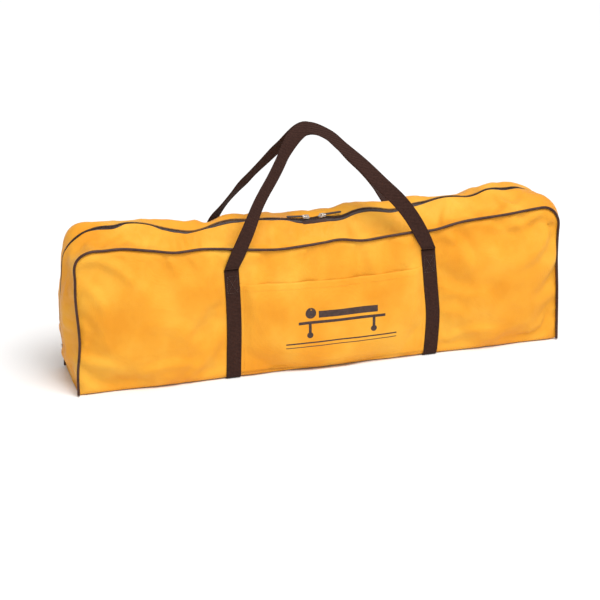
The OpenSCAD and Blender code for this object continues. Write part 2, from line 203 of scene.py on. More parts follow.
def half_stations():
    """Rows of x, z, outward x, outward z and distance along the seam, from mid length to the right foot."""
    out = np.array([-math.sin(LEAN), math.cos(LEAN)])
    top_end = CORNER_X + CORNER_R * out[0]
    rows = [
        [x, SEAM_Z + RISE * x, *out, x / math.cos(LEAN)]
        for x in np.linspace(0, top_end, HALF_TOP_STEPS + 1)
    ]
    along = rows[-1][4]
    for a in np.linspace(math.pi / 2 + LEAN, 0, CORNER_STEPS + 1)[1:]:
        c, s = math.cos(a), math.sin(a)
        reach = along + CORNER_R * (math.pi / 2 + LEAN - a)
        rows.append([CORNER_X + CORNER_R * c, CORNER_Z + CORNER_R * s, c, s, reach])
    along = rows[-1][4]
    for z in np.linspace(CORNER_Z, FOOT_Z, SIDE_STEPS + 1)[1:]:
        rows.append([HALF_L, z, 1, 0, along + CORNER_Z - z])
    return np.array(rows)


right_half = half_stations()
left_half = right_half[:0:-1] * [-1, 1, -1, 1, -1]
STATIONS = np.vstack([left_half, right_half])
PLACE, NORMAL, ALONG = STATIONS[:, :2], STATIONS[:, 2:4], STATIONS[:, 4]
MIDDLE = len(STATIONS) // 2
NORMAL[MIDDLE] = (0, 1)
TOP = slice(SIDE_STEPS, len(STATIONS) - SIDE_STEPS)


def seam_line(wave):
    """Points (x, z) of a seam that stands off the straight seam by a wave."""
    return PLACE + NORMAL * flowing(wave, ALONG)[:, None]


FRONT_LINE, BACK_LINE, RIDGE_LINE = seam_line(FRONT_SEAM), seam_line(BACK_SEAM), seam_line(RIDGE)
DEPTHS = [60, 52.5, 45, 37.5, 30, 22.5, 15]


def gusset_rows():
    """Grid of gusset points, one row for each station, from the front seam over the zip to the back seam."""
    wander, bare, back_bare = (flowing(line, ALONG) for line in (ZIP_WANDER, ZIP_BARE, BACK_BARE))
    lift = flowing(FRONT_LIFT, ALONG)
    cover = EDGE_RISE * (1 - smooth(1.6, 3, bare))
    front, back, ridge = (flowing(line, ALONG) for line in (FRONT_SEAM, BACK_SEAM, RIDGE))
    crown, fullness = flowing(BACK_CROWN, ALONG), mix(2.8, 1.3, smooth(400, 460, abs(ALONG)))
    grid = []
    for i in range(len(STATIONS)):
        row = []
        for y in [-SEAM_Y, *[-d for d in DEPTHS], -bare[i], 0, back_bare[i], *reversed(DEPTHS), SEAM_Y]:
            if y < 0:
                share = 1 - (-y / SEAM_Y) ** 1.7
                off = mix(front[i], ridge[i], share) + lift[i] * math.sin(-math.pi * y / SEAM_Y)
                off += cover[i] if y == -bare[i] else 0
            else:
                share = 1 - (y / SEAM_Y) ** fullness[i]
                off = mix(back[i], crown[i], share) + (ridge[i] - crown[i]) * math.exp(-(y / 17) ** 2)
            x, z = PLACE[i] + NORMAL[i] * off
            row.append((x, y + wander[i] * share ** 2, z))
        grid.append(row)
    return np.array(grid)


def strap_at(k, z):
    """Where the middle of a strap is at height z."""
    return STRAPS[k] + flowing(STRAP_BOWS[k], z)


def strap_nearness(x, z):
    """1 under a strap, 0 well away from both."""
    gap = np.min([abs(x - strap_at(k, z)) for k in (0, 1)], axis=0)
    return 1 - smooth(WEB_W / 2 + 1, WEB_W / 2 + 26, gap)


def face_depth(x, z, top):
    """How far a face stands from the middle of the bag at (x, z) below a seam at height top."""
    edge = np.minimum(np.minimum(HALF_L - abs(x), top - z), (z - FOOT_Z) * 1.5 + 2)
    bays = np.array([-HALF_L, *STRAPS, HALF_L])
    bay = np.clip(np.searchsorted(bays, x) - 1, 0, 2)
    across = np.clip((x - bays[bay]) / (bays[bay + 1] - bays[bay]), 0, 1)
    up = np.clip(z / top, 0, 1)
    puff = 5.5 * np.sin(math.pi * across) ** 0.7 * np.sin(math.pi * up) ** 0.8
    return SEAM_Y + (FACE_Y - SEAM_Y) * smooth(-2, 14, edge) + puff * (1 - strap_nearness(x, z))


def face_rows(line, side):
    """Grid of points of the front (side -1) or back (side 1) face, one row for each top station."""
    top = line[TOP]
    left, right = line[:SIDE_STEPS + 1][::-1], line[-SIDE_STEPS - 1:]
    share = (top[:, 0] - top[0, 0]) / (top[-1, 0] - top[0, 0])
    grid = []
    for i, (x0, z0) in enumerate(top):
        down = np.linspace(0, 1, SIDE_STEPS + 1)
        x = mix(left[:, 0], right[:, 0], share[i])
        z = mix(z0, FOOT_Z, down)
        if i == 0:
            x, z = left.T
        if i == len(top) - 1:
            x, z = right.T
        y = side * face_depth(x, z, z0)
        y[0] = y[-1] = side * SEAM_Y
        if i in (0, len(top) - 1):
            y[:] = side * SEAM_Y
        grid.append(np.column_stack([x, y, z]))
    return np.array(grid)


def base_rows(front, back):
    """Grid of the floor of the bag, from the front face's foot to the back face's."""
    ys = gusset[0][:, 1]
    grid = []
    for a, b in zip(front[:, -1], back[:, -1]):
        share = (ys - ys[0]) / (ys[-1] - ys[0])
        row = np.array([mix(a, b, s) for s in share])
        lift = 2.9 * strap_nearness(row[:, 0], 0) + 0.9
        row[:, 2] = mix(lift, FOOT_Z, smooth(SEAM_Y - 8, SEAM_Y, abs(ys)))
        row[[0, -1], 2] = FOOT_Z
        grid.append(row)
    return np.array(grid)


gusset = gusset_rows()
front_face = face_rows(FRONT_LINE, -1)
back_face = face_rows(BACK_LINE, 1)
base = base_rows(front_face, back_face)
base[0], base[-1] = gusset[0], gusset[-1]

# ---- the shell as one welded mesh, each face marked with the part it belongs to ----

WRAP, GUSSET_FRONT, GUSSET_BACK, ZIP_GAP = range(4)


class Shell:
    """Welded quads from grids of points, with a part number on each."""

    def __init__(self):
        self.ids, self.points, self.faces, self.parts = {}, [], [], []

    def vertex(self, p):
        key = tuple(np.round(p, 2))
        if key not in self.ids:
            self.ids[key] = len(self.points)
            self.points.append(p)
        return self.ids[key]

    def add(self, grid, part_of, flip=False):
        ids = np.array([[self.vertex(p) for p in row] for row in grid])
        for i in range(len(ids) - 1):
            for j in range(len(ids[0]) - 1):
                quad = [ids[i, j], ids[i + 1, j], ids[i + 1, j + 1], ids[i, j + 1]]
                quad = list(dict.fromkeys(quad[::-1] if flip else quad))
                if len(quad) > 2:
                    self.faces.append(quad)
                    self.parts.append(part_of(i, j))
        return ids


ZIP_COLUMN = len(DEPTHS) + 1


def gusset_part(i, j):
    if j < ZIP_COLUMN:
        return GUSSET_FRONT
    return ZIP_GAP if j < ZIP_COLUMN + 2 else GUSSET_BACK


shell = Shell()
gusset_ids = shell.add(gusset, gusset_part)
front_ids = shell.add(front_face, lambda i, j: WRAP, flip=True)
back_ids = shell.add(back_face, lambda i, j: WRAP)
base_ids = shell.add(base, lambda i, j: WRAP, flip=True)


def mesh_object(name, points, faces):
    """A mesh object from points in millimetres."""
    mesh = bpy.data.meshes.new(name)
    mesh.from_pydata((np.array(points) * MM).tolist(), [], faces)
    mesh.update()
    obj = bpy.data.objects.new(name, mesh)
    bpy.context.scene.collection.objects.link(obj)
    return obj


def coordinates(mesh):
    """A mesh's points in millimetres."""
    co = np.empty(len(mesh.vertices) * 3)
    mesh.vertices.foreach_get("co", co)
    return co.reshape(-1, 3) / MM


def drape(obj, held):
    """Where the points come to when the cloth wrinkles under its weight, a little slack and the air in it."""
    group = obj.vertex_groups.new(name="held")
    for index, weight in enumerate(held):
        if weight > 0:
            group.add([index], float(weight), "REPLACE")
    cloth = obj.modifiers.new("cloth", "CLOTH")
    cfg = cloth.settings
    cfg.quality = 6
    cfg.mass = 0.12
    cfg.tension_stiffness = 22
    cfg.compression_stiffness = 14
    cfg.shear_stiffness = 8
    cfg.bending_stiffness = 1.2
    cfg.tension_damping = 12
    cfg.compression_damping = 12
    cfg.shear_damping = 12
    cfg.shrink_min = -0.028
    cfg.use_pressure = True
    cfg.uniform_pressure_force = 0.9
    cfg.vertex_group_mass = "held"
    cfg.pin_stiffness = 1
    cfg.effector_weights.gravity = 0.25
    cloth.collision_settings.use_collision = False
    cloth.collision_settings.use_self_collision = False
    cloth.point_cache.frame_start = 1
    cloth.point_cache.frame_end = SIM_FRAMES
    scene = bpy.context.scene
    for step in range(1, SIM_FRAMES + 1):
        scene.frame_set(step)
    moved = obj.evaluated_get(bpy.context.evaluated_depsgraph_get())
    result = coordinates(moved.data)
    obj.modifiers.remove(cloth)
    scene.frame_set(1)
    return result


SIM_FRAMES = 22
# cloth that moves further than this in the simulation is held back
MOST_MOVE = 9

points = np.array(shell.points)
held = np.zeros(len(points))
held[front_ids[:, 0]] = held[back_ids[:, 0]] = 1
held[front_ids[[0, -1]]] = held[back_ids[[0, -1]]] = 1
held[base_ids] = 1
held[gusset_ids[:, ZIP_COLUMN:ZIP_COLUMN + 3]] = 1
on_face = np.abs(points[:, 1]) > SEAM_Y + 0.5
under_strap = np.min([abs(points[:, 0] - strap_at(k, points[:, 2])) for k in (0, 1)], axis=0) < WEB_W / 2 + 4
held[on_face & under_strap & (points[:, 2] < FOLD_Z + 6)] = 1
shell_obj = mesh_object("shell", points, shell.faces)
moved = drape(shell_obj, held) - points
far = np.linalg.norm(moved, axis=1)
moved *= (np.minimum(far, MOST_MOVE + (far - MOST_MOVE) * 0.15) / np.maximum(far, 1e-6))[:, None]
points = points + moved * (1 - held)[:, None]
bpy.data.objects.remove(shell_obj)


def subdivided(points, faces, parts, sharp):
    """The shell one subdivision finer, with sharp seams: points, faces and each face's part."""
    obj = mesh_object("shell", points, faces)
    obj.data.attributes.new("part", "INT", "FACE").data.foreach_set("value", parts)
    crease = obj.data.attributes.new("crease_edge", "FLOAT", "EDGE")
    for edge in obj.data.edges:
        if sharp[edge.vertices[0]] and sharp[edge.vertices[1]]:
            crease.data[edge.index].value = 1
    modifier = obj.modifiers.new("finer", "SUBSURF")
    modifier.levels = 1
    mesh = obj.evaluated_get(bpy.context.evaluated_depsgraph_get()).data
    found = np.empty(len(mesh.polygons), np.int32)
    mesh.attributes["part"].data.foreach_get("value", found)
    quads = np.array([p.vertices[:] for p in mesh.polygons if len(p.vertices) == 4])
    result = coordinates(mesh), quads, found
    bpy.data.objects.remove(obj)
    return result


def normals_of(points, faces):
    """Outward direction at each point, from the faces given."""
    a, b, c, d = (points[faces[:, k]] for k in range(4))
    face = np.cross(c - a, d - b)
    total = np.zeros_like(points)
    for k in range(4):
        np.add.at(total, faces[:, k], face)
    return total / np.maximum(np.linalg.norm(total, axis=1), 1e-9)[:, None]


on_seam = np.zeros(len(points), bool)
on_seam[np.concatenate([gusset_ids[:, 0], gusset_ids[:, -1]])] = True
points, faces, parts = subdivided(points, shell.faces, shell.parts, on_seam)
WRAP_FACES = faces[parts == WRAP]
GUSSET_FACES = faces[parts != WRAP]

# ---- creases, chosen one by one, each a soft ridge with a hollow along one side ----
# (from, to, width, height): places are (x, z) on the faces, and (x, y) on the top

FRONT_CREASES = [
    ((-415, 240), (-330, 185), 9, 2.6), ((-405, 246), (-300, 222), 7, 1.8),
    ((-424, 205), (-385, 120), 8, 1.6), ((-300, 240), (-262, 205), 8, 2.4),
    ((-250, 232), (-225, 205), 6, 1.6), ((-205, 226), (-192, 150), 7, 1.8),
    ((-150, 224), (-100, 205), 7, 2.4), ((-60, 219), (-20, 203), 7, 1.8), ((20, 222), (72, 206), 7, 2.2),
    ((100, 222), (150, 208), 6, 1.8), ((205, 226), (262, 150), 9, 2.8), ((250, 236), (330, 205), 8, 2.2),
    ((330, 240), (372, 175), 10, 3.0), ((415, 235), (352, 150), 11, 3.2), ((400, 248), (300, 226), 7, 1.8),
    ((424, 200), (395, 110), 8, 1.8), ((-424, 60), (-350, 22), 9, 1.8), ((424, 55), (345, 20), 10, 2.2),
    ((-425, 118), (-408, 116), 3, 1.0), ((-425, 92), (-410, 88), 3, 1.1), ((-425, 66), (-409, 66), 3, 1.0),
    ((-425, 40), (-408, 44), 3, 1.1), ((-330, 30), (-215, 26), 8, 1.6), ((215, 24), (330, 30), 8, 1.8),
    ((-300, 120), (-230, 60), 14, 1.6), ((250, 120), (310, 60), 14, 1.8)
]
BACK_CREASES = [
    ((-415, 240), (-320, 190), 9, 2.8), ((-250, 236), (-205, 150), 9, 2.2),
    ((-120, 238), (-60, 200), 8, 2.0), ((-20, 240), (40, 190), 9, 2.2), ((90, 238), (150, 205), 7, 1.8),
    ((210, 236), (280, 170), 10, 2.6), ((415, 238), (330, 180), 10, 2.8), ((-424, 60), (-345, 25), 9, 2.0),
    ((424, 60), (345, 25), 9, 2.0), ((-120, 30), (120, 34), 12, 1.6), ((-60, 150), (60, 90), 16, 1.8),
    ((-330, 120), (-230, 80), 14, 1.6)
]
TOP_CREASES = [
    ((-380, -60), (-330, -20), 7, 2.0), ((-300, -62), (-262, -14), 8, 2.4),
    ((-232, -64), (-240, -12), 7, 2.2), ((-190, -62), (-205, -12), 6, 2.0),
    ((-140, -60), (-110, -16), 8, 2.0), ((-70, -62), (-88, -16), 7, 1.8), ((-30, -64), (-45, -18), 6, 1.6),
    ((70, -62), (60, -18), 7, 1.8), ((125, -62), (142, -12), 7, 2.2), ((175, -64), (162, -16), 6, 1.8),
    ((220, -60), (246, -14), 8, 2.2), ((300, -62), (282, -14), 8, 2.0), ((352, -60), (330, -16), 7, 2.0),
    ((-320, 60), (-290, 14), 8, 2.2), ((-200, 62), (-215, 14), 7, 2.2), ((-90, 60), (-70, 18), 8, 1.8),
    ((50, 62), (68, 16), 7, 1.8), ((150, 60), (136, 14), 8, 2.2), ((250, 62), (268, 14), 8, 2.2),
    ((345, 60), (330, 16), 7, 1.8)
]
END_CREASES = [
    ((-60, 190), (-15, 175), 8, 1.8), ((-62, 140), (-20, 150), 9, 2.0), ((-60, 90), (-25, 80), 8, 1.8),
    ((62, 180), (18, 165), 8, 1.8), ((60, 120), (20, 128), 9, 2.0), ((-58, 30), (55, 42), 10, 2.0),
    ((60, 60), (20, 66), 8, 1.6)
]


def crease_height(places, creases):
    """How far creases lift the cloth at places, an array of two columns."""
    height = np.zeros(len(places))
    for start, end, width, lift in creases:
        start, run = np.array(start, float), np.subtract(end, start)
        length = np.linalg.norm(run)
        along = (places - start) @ run / length ** 2
        bend = 0.12 * length * np.sin(math.pi * np.clip(along, 0, 1))
        across = (places - start) @ np.array([-run[1], run[0]]) / length - bend
        fade = smooth(-0.15, 0.3, along) * (1 - smooth(0.55, 1.2, along))
        ridge = np.exp(-((across / width) ** 2)) - 0.55 * np.exp(-(((across - 1.7 * width) / width) ** 2))
        height += 1.35 * lift * fade * ridge
    return height


def ripple(p, size, seed):
    """Smooth noise of about -1 to 1 at points in millimetres."""
    return np.array([noise.noise(Vector(v) / size + Vector((seed, 0, 0))) for v in p])


def creased(points):
    """The shell with its creases and small unevenness, which fade out under straps and along seams."""
    wrap_normals, gusset_normals = normals_of(points, WRAP_FACES), normals_of(points, GUSSET_FACES)
    x, y, z = points.T
    lift = np.zeros(len(points))
    free = (1 - strap_nearness(x, z)) * smooth(1, 10, z)
    for side, creases in ((-1, FRONT_CREASES), (1, BACK_CREASES)):
        here = y * side > SEAM_Y + 0.8
        lift[here] = (crease_height(points[here][:, [0, 2]], creases) * free[here])
        edge = smooth(0, 12, np.minimum(HALF_L - abs(x), np.interp(x, *FRONT_LINE[TOP].T) - z))
        lift[here] *= edge[here]
        small = 0.9 * ripple(points[here], 26, 3 + side) + 0.35 * ripple(points[here], 10, 5 + side)
        lift[here] += small * free[here] * edge[here]
    inner = smooth(0, 12, SEAM_Y - abs(y)) * smooth(2, 12, abs(y))
    top = (z > CORNER_Z + 8) & (abs(y) < SEAM_Y - 0.5)
    lift[top] = crease_height(points[top][:, [0, 1]], TOP_CREASES) * inner[top]
    lift[top] *= np.where(y[top] > 0, 0.5, 1)
    end = (abs(x) > CORNER_X + 20) & (abs(y) < SEAM_Y - 0.5) & (z > 3) & (z < CORNER_Z)
    places = np.column_stack([y * np.sign(x), z])
    lift[end] = crease_height(places[end], END_CREASES) * inner[end] * smooth(3, 20, z[end])
    soft = (top | end) & (z > 3)
    small = 0.9 * ripple(points[soft], 22, 9) + 0.35 * ripple(points[soft], 9, 7)
    lift[soft] += small * inner[soft] * np.where(y[soft] > 0, 0.6, 1)
    wrap = np.zeros(len(points), bool)
    wrap[WRAP_FACES] = True
    return points + np.where(wrap[:, None], wrap_normals, gusset_normals) * lift[:, None]


points = creased(points)
points[:, 2] = np.maximum(points[:, 2], 0.3)
wrap_normals = normals_of(points, WRAP_FACES)
gusset_normals = normals_of(points, GUSSET_FACES)

# ---- making pieces ----


def finished(obj, slot, body, replaced=(), material=None):
    """Gives a piece its slot and its look, the body it rides on and the CAD nodes that it stands for."""
    obj.data.materials.append(material or looks[slot])
    for polygon in obj.data.polygons:
        polygon.use_smooth = True
    if body:
        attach(obj, body)
    if replaced:
        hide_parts(*replaced)
    return obj


def cloth_piece(name, points, faces, normals, thickness=CLOTH_T):
    """A piece of cloth cut from a larger surface: its outer side, its inner side and the cut edge."""
    used, compact = np.unique(faces, return_inverse=True)
    compact = compact.reshape(faces.shape)
    outer, out = points[used], normals[used]
    n = len(used)
    sides = [*compact.tolist(), *(compact[:, ::-1] + n).tolist()]
    directed = {(f[k], f[(k + 1) % 4]) for f in compact.tolist() for k in range(4)}
    rim = [[b, a, a + n, b + n] for a, b in sorted(directed) if (b, a) not in directed]
    obj = mesh_object(name, np.vstack([outer, outer - out * thickness]), sides + rim)
    for polygon in obj.data.polygons:
        polygon.use_smooth = True
    obj.data.normals_split_custom_set_from_vertices(np.vstack([out, -out]).tolist())
    return obj


def circle(n):
    """n angles evenly round a circle."""
    return np.arange(n) * 2 * math.pi / n


def unit(rows):
    """Each row at length 1."""
    return rows / np.linalg.norm(rows, axis=1)[:, None]


def tube(name, path, radius, sides=10):
    """A round tube along path. radius is a number or one for each point."""
    path = np.array(path, float)
    radius = np.broadcast_to(radius, len(path)).copy()
    along = unit(np.gradient(path, axis=0))
    side = np.cross(along[0], (0, 1, 0) if abs(along[0][1]) < 0.9 else (1, 0, 0))
    rings = []
    for p, t, r in zip(path, along, radius):
        side = side - t * (side @ t)
        side /= np.linalg.norm(side)
        up = np.cross(t, side)
        rings.append([p + r * (math.cos(a) * side + math.sin(a) * up) for a in circle(sides)])
    return skin(name, rings)


def skin(name, rings):
    """A closed mesh over rings of points, capped at both ends."""
    n = len(rings[0])
    faces = []
    for i in range(len(rings) - 1):
        for j in range(n):
            k = (j + 1) % n
            faces.append([i * n + j, i * n + k, (i + 1) * n + k, (i + 1) * n + j])
    last = (len(rings) - 1) * n
    faces += [list(range(n))[::-1], [last + j for j in range(n)]]
    return mesh_object(name, np.vstack(rings), faces)


# ---- materials ----


class Look:
    """A Principled material with helpers for its procedural nodes. Texture places are in metres."""

    def __init__(self, name, **values):
        self.material = bpy.data.materials.new(name)
        self.material.use_nodes = True
        self.tree = self.material.node_tree
        self.shader = self.tree.nodes["Principled BSDF"]
        self.places = self.tree.nodes.new("ShaderNodeTexCoord").outputs["Object"]
        for socket, value in values.items():
            self.shader.inputs[socket.replace("_", " ")].default_value = value

    def node(self, kind, settings=(), **values):
        node = self.tree.nodes.new("ShaderNode" + kind)
        for key, value in dict(settings).items():
            setattr(node, key, value)
        for socket, value in values.items():
            target = node.inputs[socket.replace("_", " ")]
            if isinstance(value, bpy.types.NodeSocket):
                self.tree.links.new(value, target)
            else:
                target.default_value = value
        return node

    def noise(self, scale, detail=3):
        return self.node("TexNoise", Vector=self.places, Scale=scale, Detail=detail).outputs["Fac"]

    def waves(self, period, way="X", distortion=0.0):
        """Bands across an axis, one every period metres."""
        return self.node(
            "TexWave", {"bands_direction": way}, Vector=self.places, Scale=0.31416 / period,
            Distortion=distortion, Detail_Scale=2.0
        ).outputs["Fac"]

    def math(self, operation, a, b):
        node = self.tree.nodes.new("ShaderNodeMath")
        node.operation = operation
        for socket, value in zip(node.inputs, (a, b)):
            if isinstance(value, bpy.types.NodeSocket):
                self.tree.links.new(value, socket)
            else:
                socket.default_value = value
        return node.outputs[0]

    def colour(self, factor, *stops):
        """Base colour from a factor through (place, colour) stops."""
        ramp = self.node("ValToRGB", Fac=factor)
        elements = ramp.color_ramp.elements
        while len(elements) < len(stops):
            elements.new(0.5)
        for element, (place, rgb) in zip(elements, stops):
            element.position = place
            element.color = (*rgb, 1)
        self.tree.links.new(ramp.outputs["Color"], self.shader.inputs["Base Color"])
        return ramp

    def rough(self, factor, low, high):
        out = self.node("MapRange", Value=factor, To_Min=low, To_Max=high).outputs[0]
        self.tree.links.new(out, self.shader.inputs["Roughness"])

    def bump(self, height, distance, strength=1.0):
        """Adds bump of this depth in metres on top of any bump set before."""
        before = self.shader.inputs["Normal"].links
        values = {"Height": height, "Distance": distance, "Strength": strength}
        if before:
            values["Normal"] = before[0].from_socket
        out = self.node("Bump", **values).outputs["Normal"]
        self.tree.links.new(out, self.shader.inputs["Normal"])

    def weave(self, period, depth):
        """A plain weave that shows whichever way the cloth faces."""
        threads = self.math("ADD", self.waves(period, "X"), self.waves(period, "Y"))
        self.bump(self.math("ADD", threads, self.waves(period, "Z")), depth)


def coated_cloth():
    look = Look("coated_cloth", Specular_IOR_Level=0.2, Sheen_Weight=0.05, Sheen_Roughness=0.4)
    patches = look.noise(11, 5)
    look.colour(
        patches, (0.34, (0.74, 0.285, 0.013)), (0.5, (0.785, 0.335, 0.022)), (0.66, (0.815, 0.4, 0.038))
    )
    look.rough(look.noise(60, 4), 0.42, 0.56)
    look.bump(look.noise(140, 3), 0.0006, 0.5)
    look.weave(0.0011, 0.00012)
    return look.material


def webbing(name, dark, light):
    """Woven tape: ribs along its length and rows of picks across it."""
    look = Look(name, Specular_IOR_Level=0.09, Sheen_Weight=0.02)
    threads = look.math("MULTIPLY", look.waves(0.0024, "Z"), look.waves(0.0017, "X"))
    patches = look.math("MULTIPLY", look.noise(420, 2), 0.5)
    mottle = look.math("ADD", patches, look.math("MULTIPLY", threads, 0.5))
    look.colour(mottle, (0.2, dark), (0.75, light))
    look.rough(look.noise(300), 0.6, 0.8)
    look.bump(threads, 0.0005, 0.8)
    look.bump(look.waves(0.0017, "Y"), 0.0003, 0.6)
    return look.material


def moulded(name, dark, light, rough=(0.35, 0.5)):
    look = Look(name, Specular_IOR_Level=0.45)
    look.colour(look.noise(240, 4), (0.35, dark), (0.7, light))
    look.rough(look.noise(90, 3), *rough)
    look.bump(look.noise(900, 2), 0.00008)
    return look.material


def piping_skin():
    """Vinyl piping drawn tight over its cord, with fine puckers."""
    look = Look("piping", Specular_IOR_Level=0.25)
    look.colour(look.noise(130, 4), (0.3, (0.036, 0.012, 0.007)), (0.7, (0.066, 0.025, 0.016)))
    look.rough(look.noise(200, 3), 0.34, 0.5)
    look.bump(look.noise(420, 2), 0.0005, 0.6)
    return look.material


def metal():
    look = Look("bright_metal", Metallic=1.0)
    look.colour(look.noise(300, 4), (0.3, (0.52, 0.51, 0.49)), (0.7, (0.74, 0.73, 0.7)))
    look.rough(look.noise(700, 3), 0.22, 0.42)
    look.bump(look.noise(1500, 2), 0.00004)
    return look.material


def plain_cloth(name, dark, light, period=0.0008):
    look = Look(name, Specular_IOR_Level=0.25, Sheen_Weight=0.2)
    look.colour(look.noise(35, 5), (0.3, dark), (0.7, light))
    look.rough(look.noise(150), 0.7, 0.9)
    look.bump(look.noise(200, 3), 0.0005, 0.5)
    look.weave(period, 0.0002)
    return look.material


def wood():
    look = Look("slat_wood", Specular_IOR_Level=0.3)
    stretched = look.node("Mapping", Vector=look.places, Scale=(1.5, 40, 40)).outputs["Vector"]
    grain = look.node("TexNoise", Vector=stretched, Scale=9, Detail=6, Distortion=0.6).outputs["Fac"]
    look.colour(grain, (0.3, (0.42, 0.25, 0.12)), (0.5, (0.6, 0.4, 0.21)), (0.7, (0.68, 0.49, 0.29)))
    look.rough(grain, 0.45, 0.65)
    look.bump(grain, 0.0003)
    return look.material


BROWN, LIGHT_BROWN = (0.021, 0.0078, 0.0055), (0.07, 0.031, 0.022)
looks = {
    "coated_cloth": coated_cloth(),
    "piping": piping_skin(),
    "webbing": webbing("webbing", BROWN, LIGHT_BROWN),
    "thread": plain_cloth("thread", (0.035, 0.017, 0.013), (0.09, 0.045, 0.035)),
    "zip_cloth": plain_cloth("zip_cloth", (0.035, 0.016, 0.012), (0.075, 0.036, 0.027)),
    "zip_coil": moulded("zip_coil", (0.03, 0.014, 0.011), (0.08, 0.04, 0.03)),
    "bright_metal": metal(),
    "pull_moulding": moulded("pull_moulding", (0.02, 0.012, 0.01), (0.05, 0.03, 0.025)),
    "stretcher_cloth": plain_cloth("stretcher_cloth", (0.72, 0.2, 0.02), (0.85, 0.29, 0.04), 0.0012),
    "slat_wood": wood(),
    "roll_pad": plain_cloth("roll_pad", (0.7, 0.19, 0.02), (0.82, 0.27, 0.035), 0.0012),
    "black_webbing": webbing("black_webbing", (0.012, 0.012, 0.013), (0.04, 0.04, 0.042)),
    "green_webbing": webbing("green_webbing", (0.015, 0.17, 0.06), (0.04, 0.34, 0.13)),
    "yellow_webbing": webbing("yellow_webbing", (0.62, 0.4, 0.03), (0.85, 0.62, 0.07)),
    "red_webbing": webbing("red_webbing", (0.36, 0.018, 0.012), (0.6, 0.05, 0.03)),
    "buckle_plastic": moulded("buckle_plastic", (0.012, 0.012, 0.013), (0.035, 0.035, 0.037))
}
slots = {s["node"]: s["material_slot"] for s in frame["record"]["subparts"]}
for name, node in frame["nodes"].items():
    node.data.materials.clear()
    node.data.materials.append(looks[slots[name]])

# ---- the bag's cloth ----

wrap = cloth_piece("bag_wrap", points, WRAP_FACES, wrap_normals)
finished(wrap, "coated_cloth", "bag", ["front_panel", "back_panel", "base_panel"])

# the open part of the top splits here, where the cloth starts to follow the zip edge that opens
SPLIT_X = 61
gusset_centres = {part: points[faces[parts == part]].mean(axis=1) for part in (GUSSET_FRONT, GUSSET_BACK)}


def opening_share(side, from_x, to_x):
    """Start and end of a blend from the seam to the zip edge, which also dies away from from_x to to_x."""
    start = np.array([from_x, side * SEAM_Y, RIDGE_Z])
    slope = np.array([-1 / (to_x - from_x), -side / (SEAM_Y - ZIP_EDGE), 0])
    return start * MM, (start + slope / (slope @ slope)) * MM


def gusset_piece(name, side, keep, replaced, blend=None):
    """A piece of the gusset whose face centres satisfy keep, riding on the bag, or, given a blend, left on no
    body with its place baked in.
    """
    part = GUSSET_FRONT if side < 0 else GUSSET_BACK
    centres = gusset_centres[part]
    piece = cloth_piece(name, points, faces[parts == part][keep(centres)], gusset_normals)
    finished(piece, "coated_cloth", None if blend else "bag", replaced)
    if blend:
        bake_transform(piece)
    return piece


def low_end(c):
    return (c[:, 2] < ZIP_LOW) & (abs(c[:, 0]) > MOUTH)


def high_end(c):
    return (c[:, 2] >= ZIP_LOW) & (abs(c[:, 0]) > MOUTH)


for side, word in ((-1, "front"), (1, "back")):
    straight = (np.array([0, side * SEAM_Y, RIDGE_Z]) * MM, np.array([0, side * ZIP_EDGE, RIDGE_Z]) * MM)
    middle = gusset_piece(
        f"gusset_top_{word}_middle", side, lambda c: abs(c[:, 0]) < SPLIT_X, [f"gusset_top_{word}"], straight
    )
    for hand, end in ((-1, "left"), (1, "right")):
        shared = gusset_piece(
            f"gusset_top_{word}_{end}", side,
            lambda c: (c[:, 0] * hand > SPLIT_X) & (abs(c[:, 0]) < MOUTH),
            [f"gusset_top_{word}"], opening_share(side, hand * SPLIT_X, hand * MOUTH)
        )
        node = f"gusset_{end}_{word}"
        corner = gusset_piece(node, side, lambda c: (c[:, 0] * hand > 0) & high_end(c), [node])


def end_faces(hand):
    """Faces of a low end panel: both gusset halves and the strip between them."""
    centres = points[GUSSET_FACES].mean(axis=1)
    return GUSSET_FACES[low_end(centres) & (centres[:, 0] * hand > 0)]


for hand, end in ((-1, "left"), (1, "right")):
    panel = cloth_piece("end_panel_cloth_" + end, points, end_faces(hand), gusset_normals)
    finished(panel, "coated_cloth", "bag", ["end_panel_" + end])

# ---- piping ----


def between(line, n):
    """A path with n smooth steps between each two points of line."""
    line = np.array(line, float)
    steps = np.arange(len(line))
    at = np.linspace(0, len(line) - 1, (len(line) - 1) * n + 1)
    return np.column_stack([flowing(np.column_stack([steps, line[:, k]]), at) for k in range(line.shape[1])])


PIPING_R = 2.3
for side, word, line in ((-1, "front", FRONT_LINE), (1, "back", BACK_LINE)):
    middle = line + NORMAL
    route = np.column_stack([middle[:, 0], np.full(len(middle), side * (SEAM_Y + 2.6)), middle[:, 1]])
    route = between(route, 2)
    route[:, 2] = np.maximum(route[:, 2], PIPING_R + 0.2)
    size = PIPING_R * (1 + 0.05 * ripple(route, 9, side))
    finished(tube(f"piping_cord_{word}", route, size, 12), "piping", "bag", ["piping_" + word])


def surface_tree(points, faces):
    return BVHTree.FromPolygons(points.tolist(), faces.tolist())


# ---- zip: tape under the cloth's edge, moulded teeth, and the runs that stay closed ----

# the tape seen across: distance from the zip's middle, and height against the teeth's
TAPE_PROFILE = [(2.4, -0.6), (5.2, -0.9), (6.3, -1.9), (9, -2.6), (12.5, -3.4)]
TAPE_T = 0.7
# how far the teeth stand back round a slider's wedge, and where the wedge is at the end of its travel
STEP_BACK, WEDGE_X = 1.5, 360
gusset_tree = surface_tree(points, faces[(parts == GUSSET_FRONT) | (parts == GUSSET_BACK)])


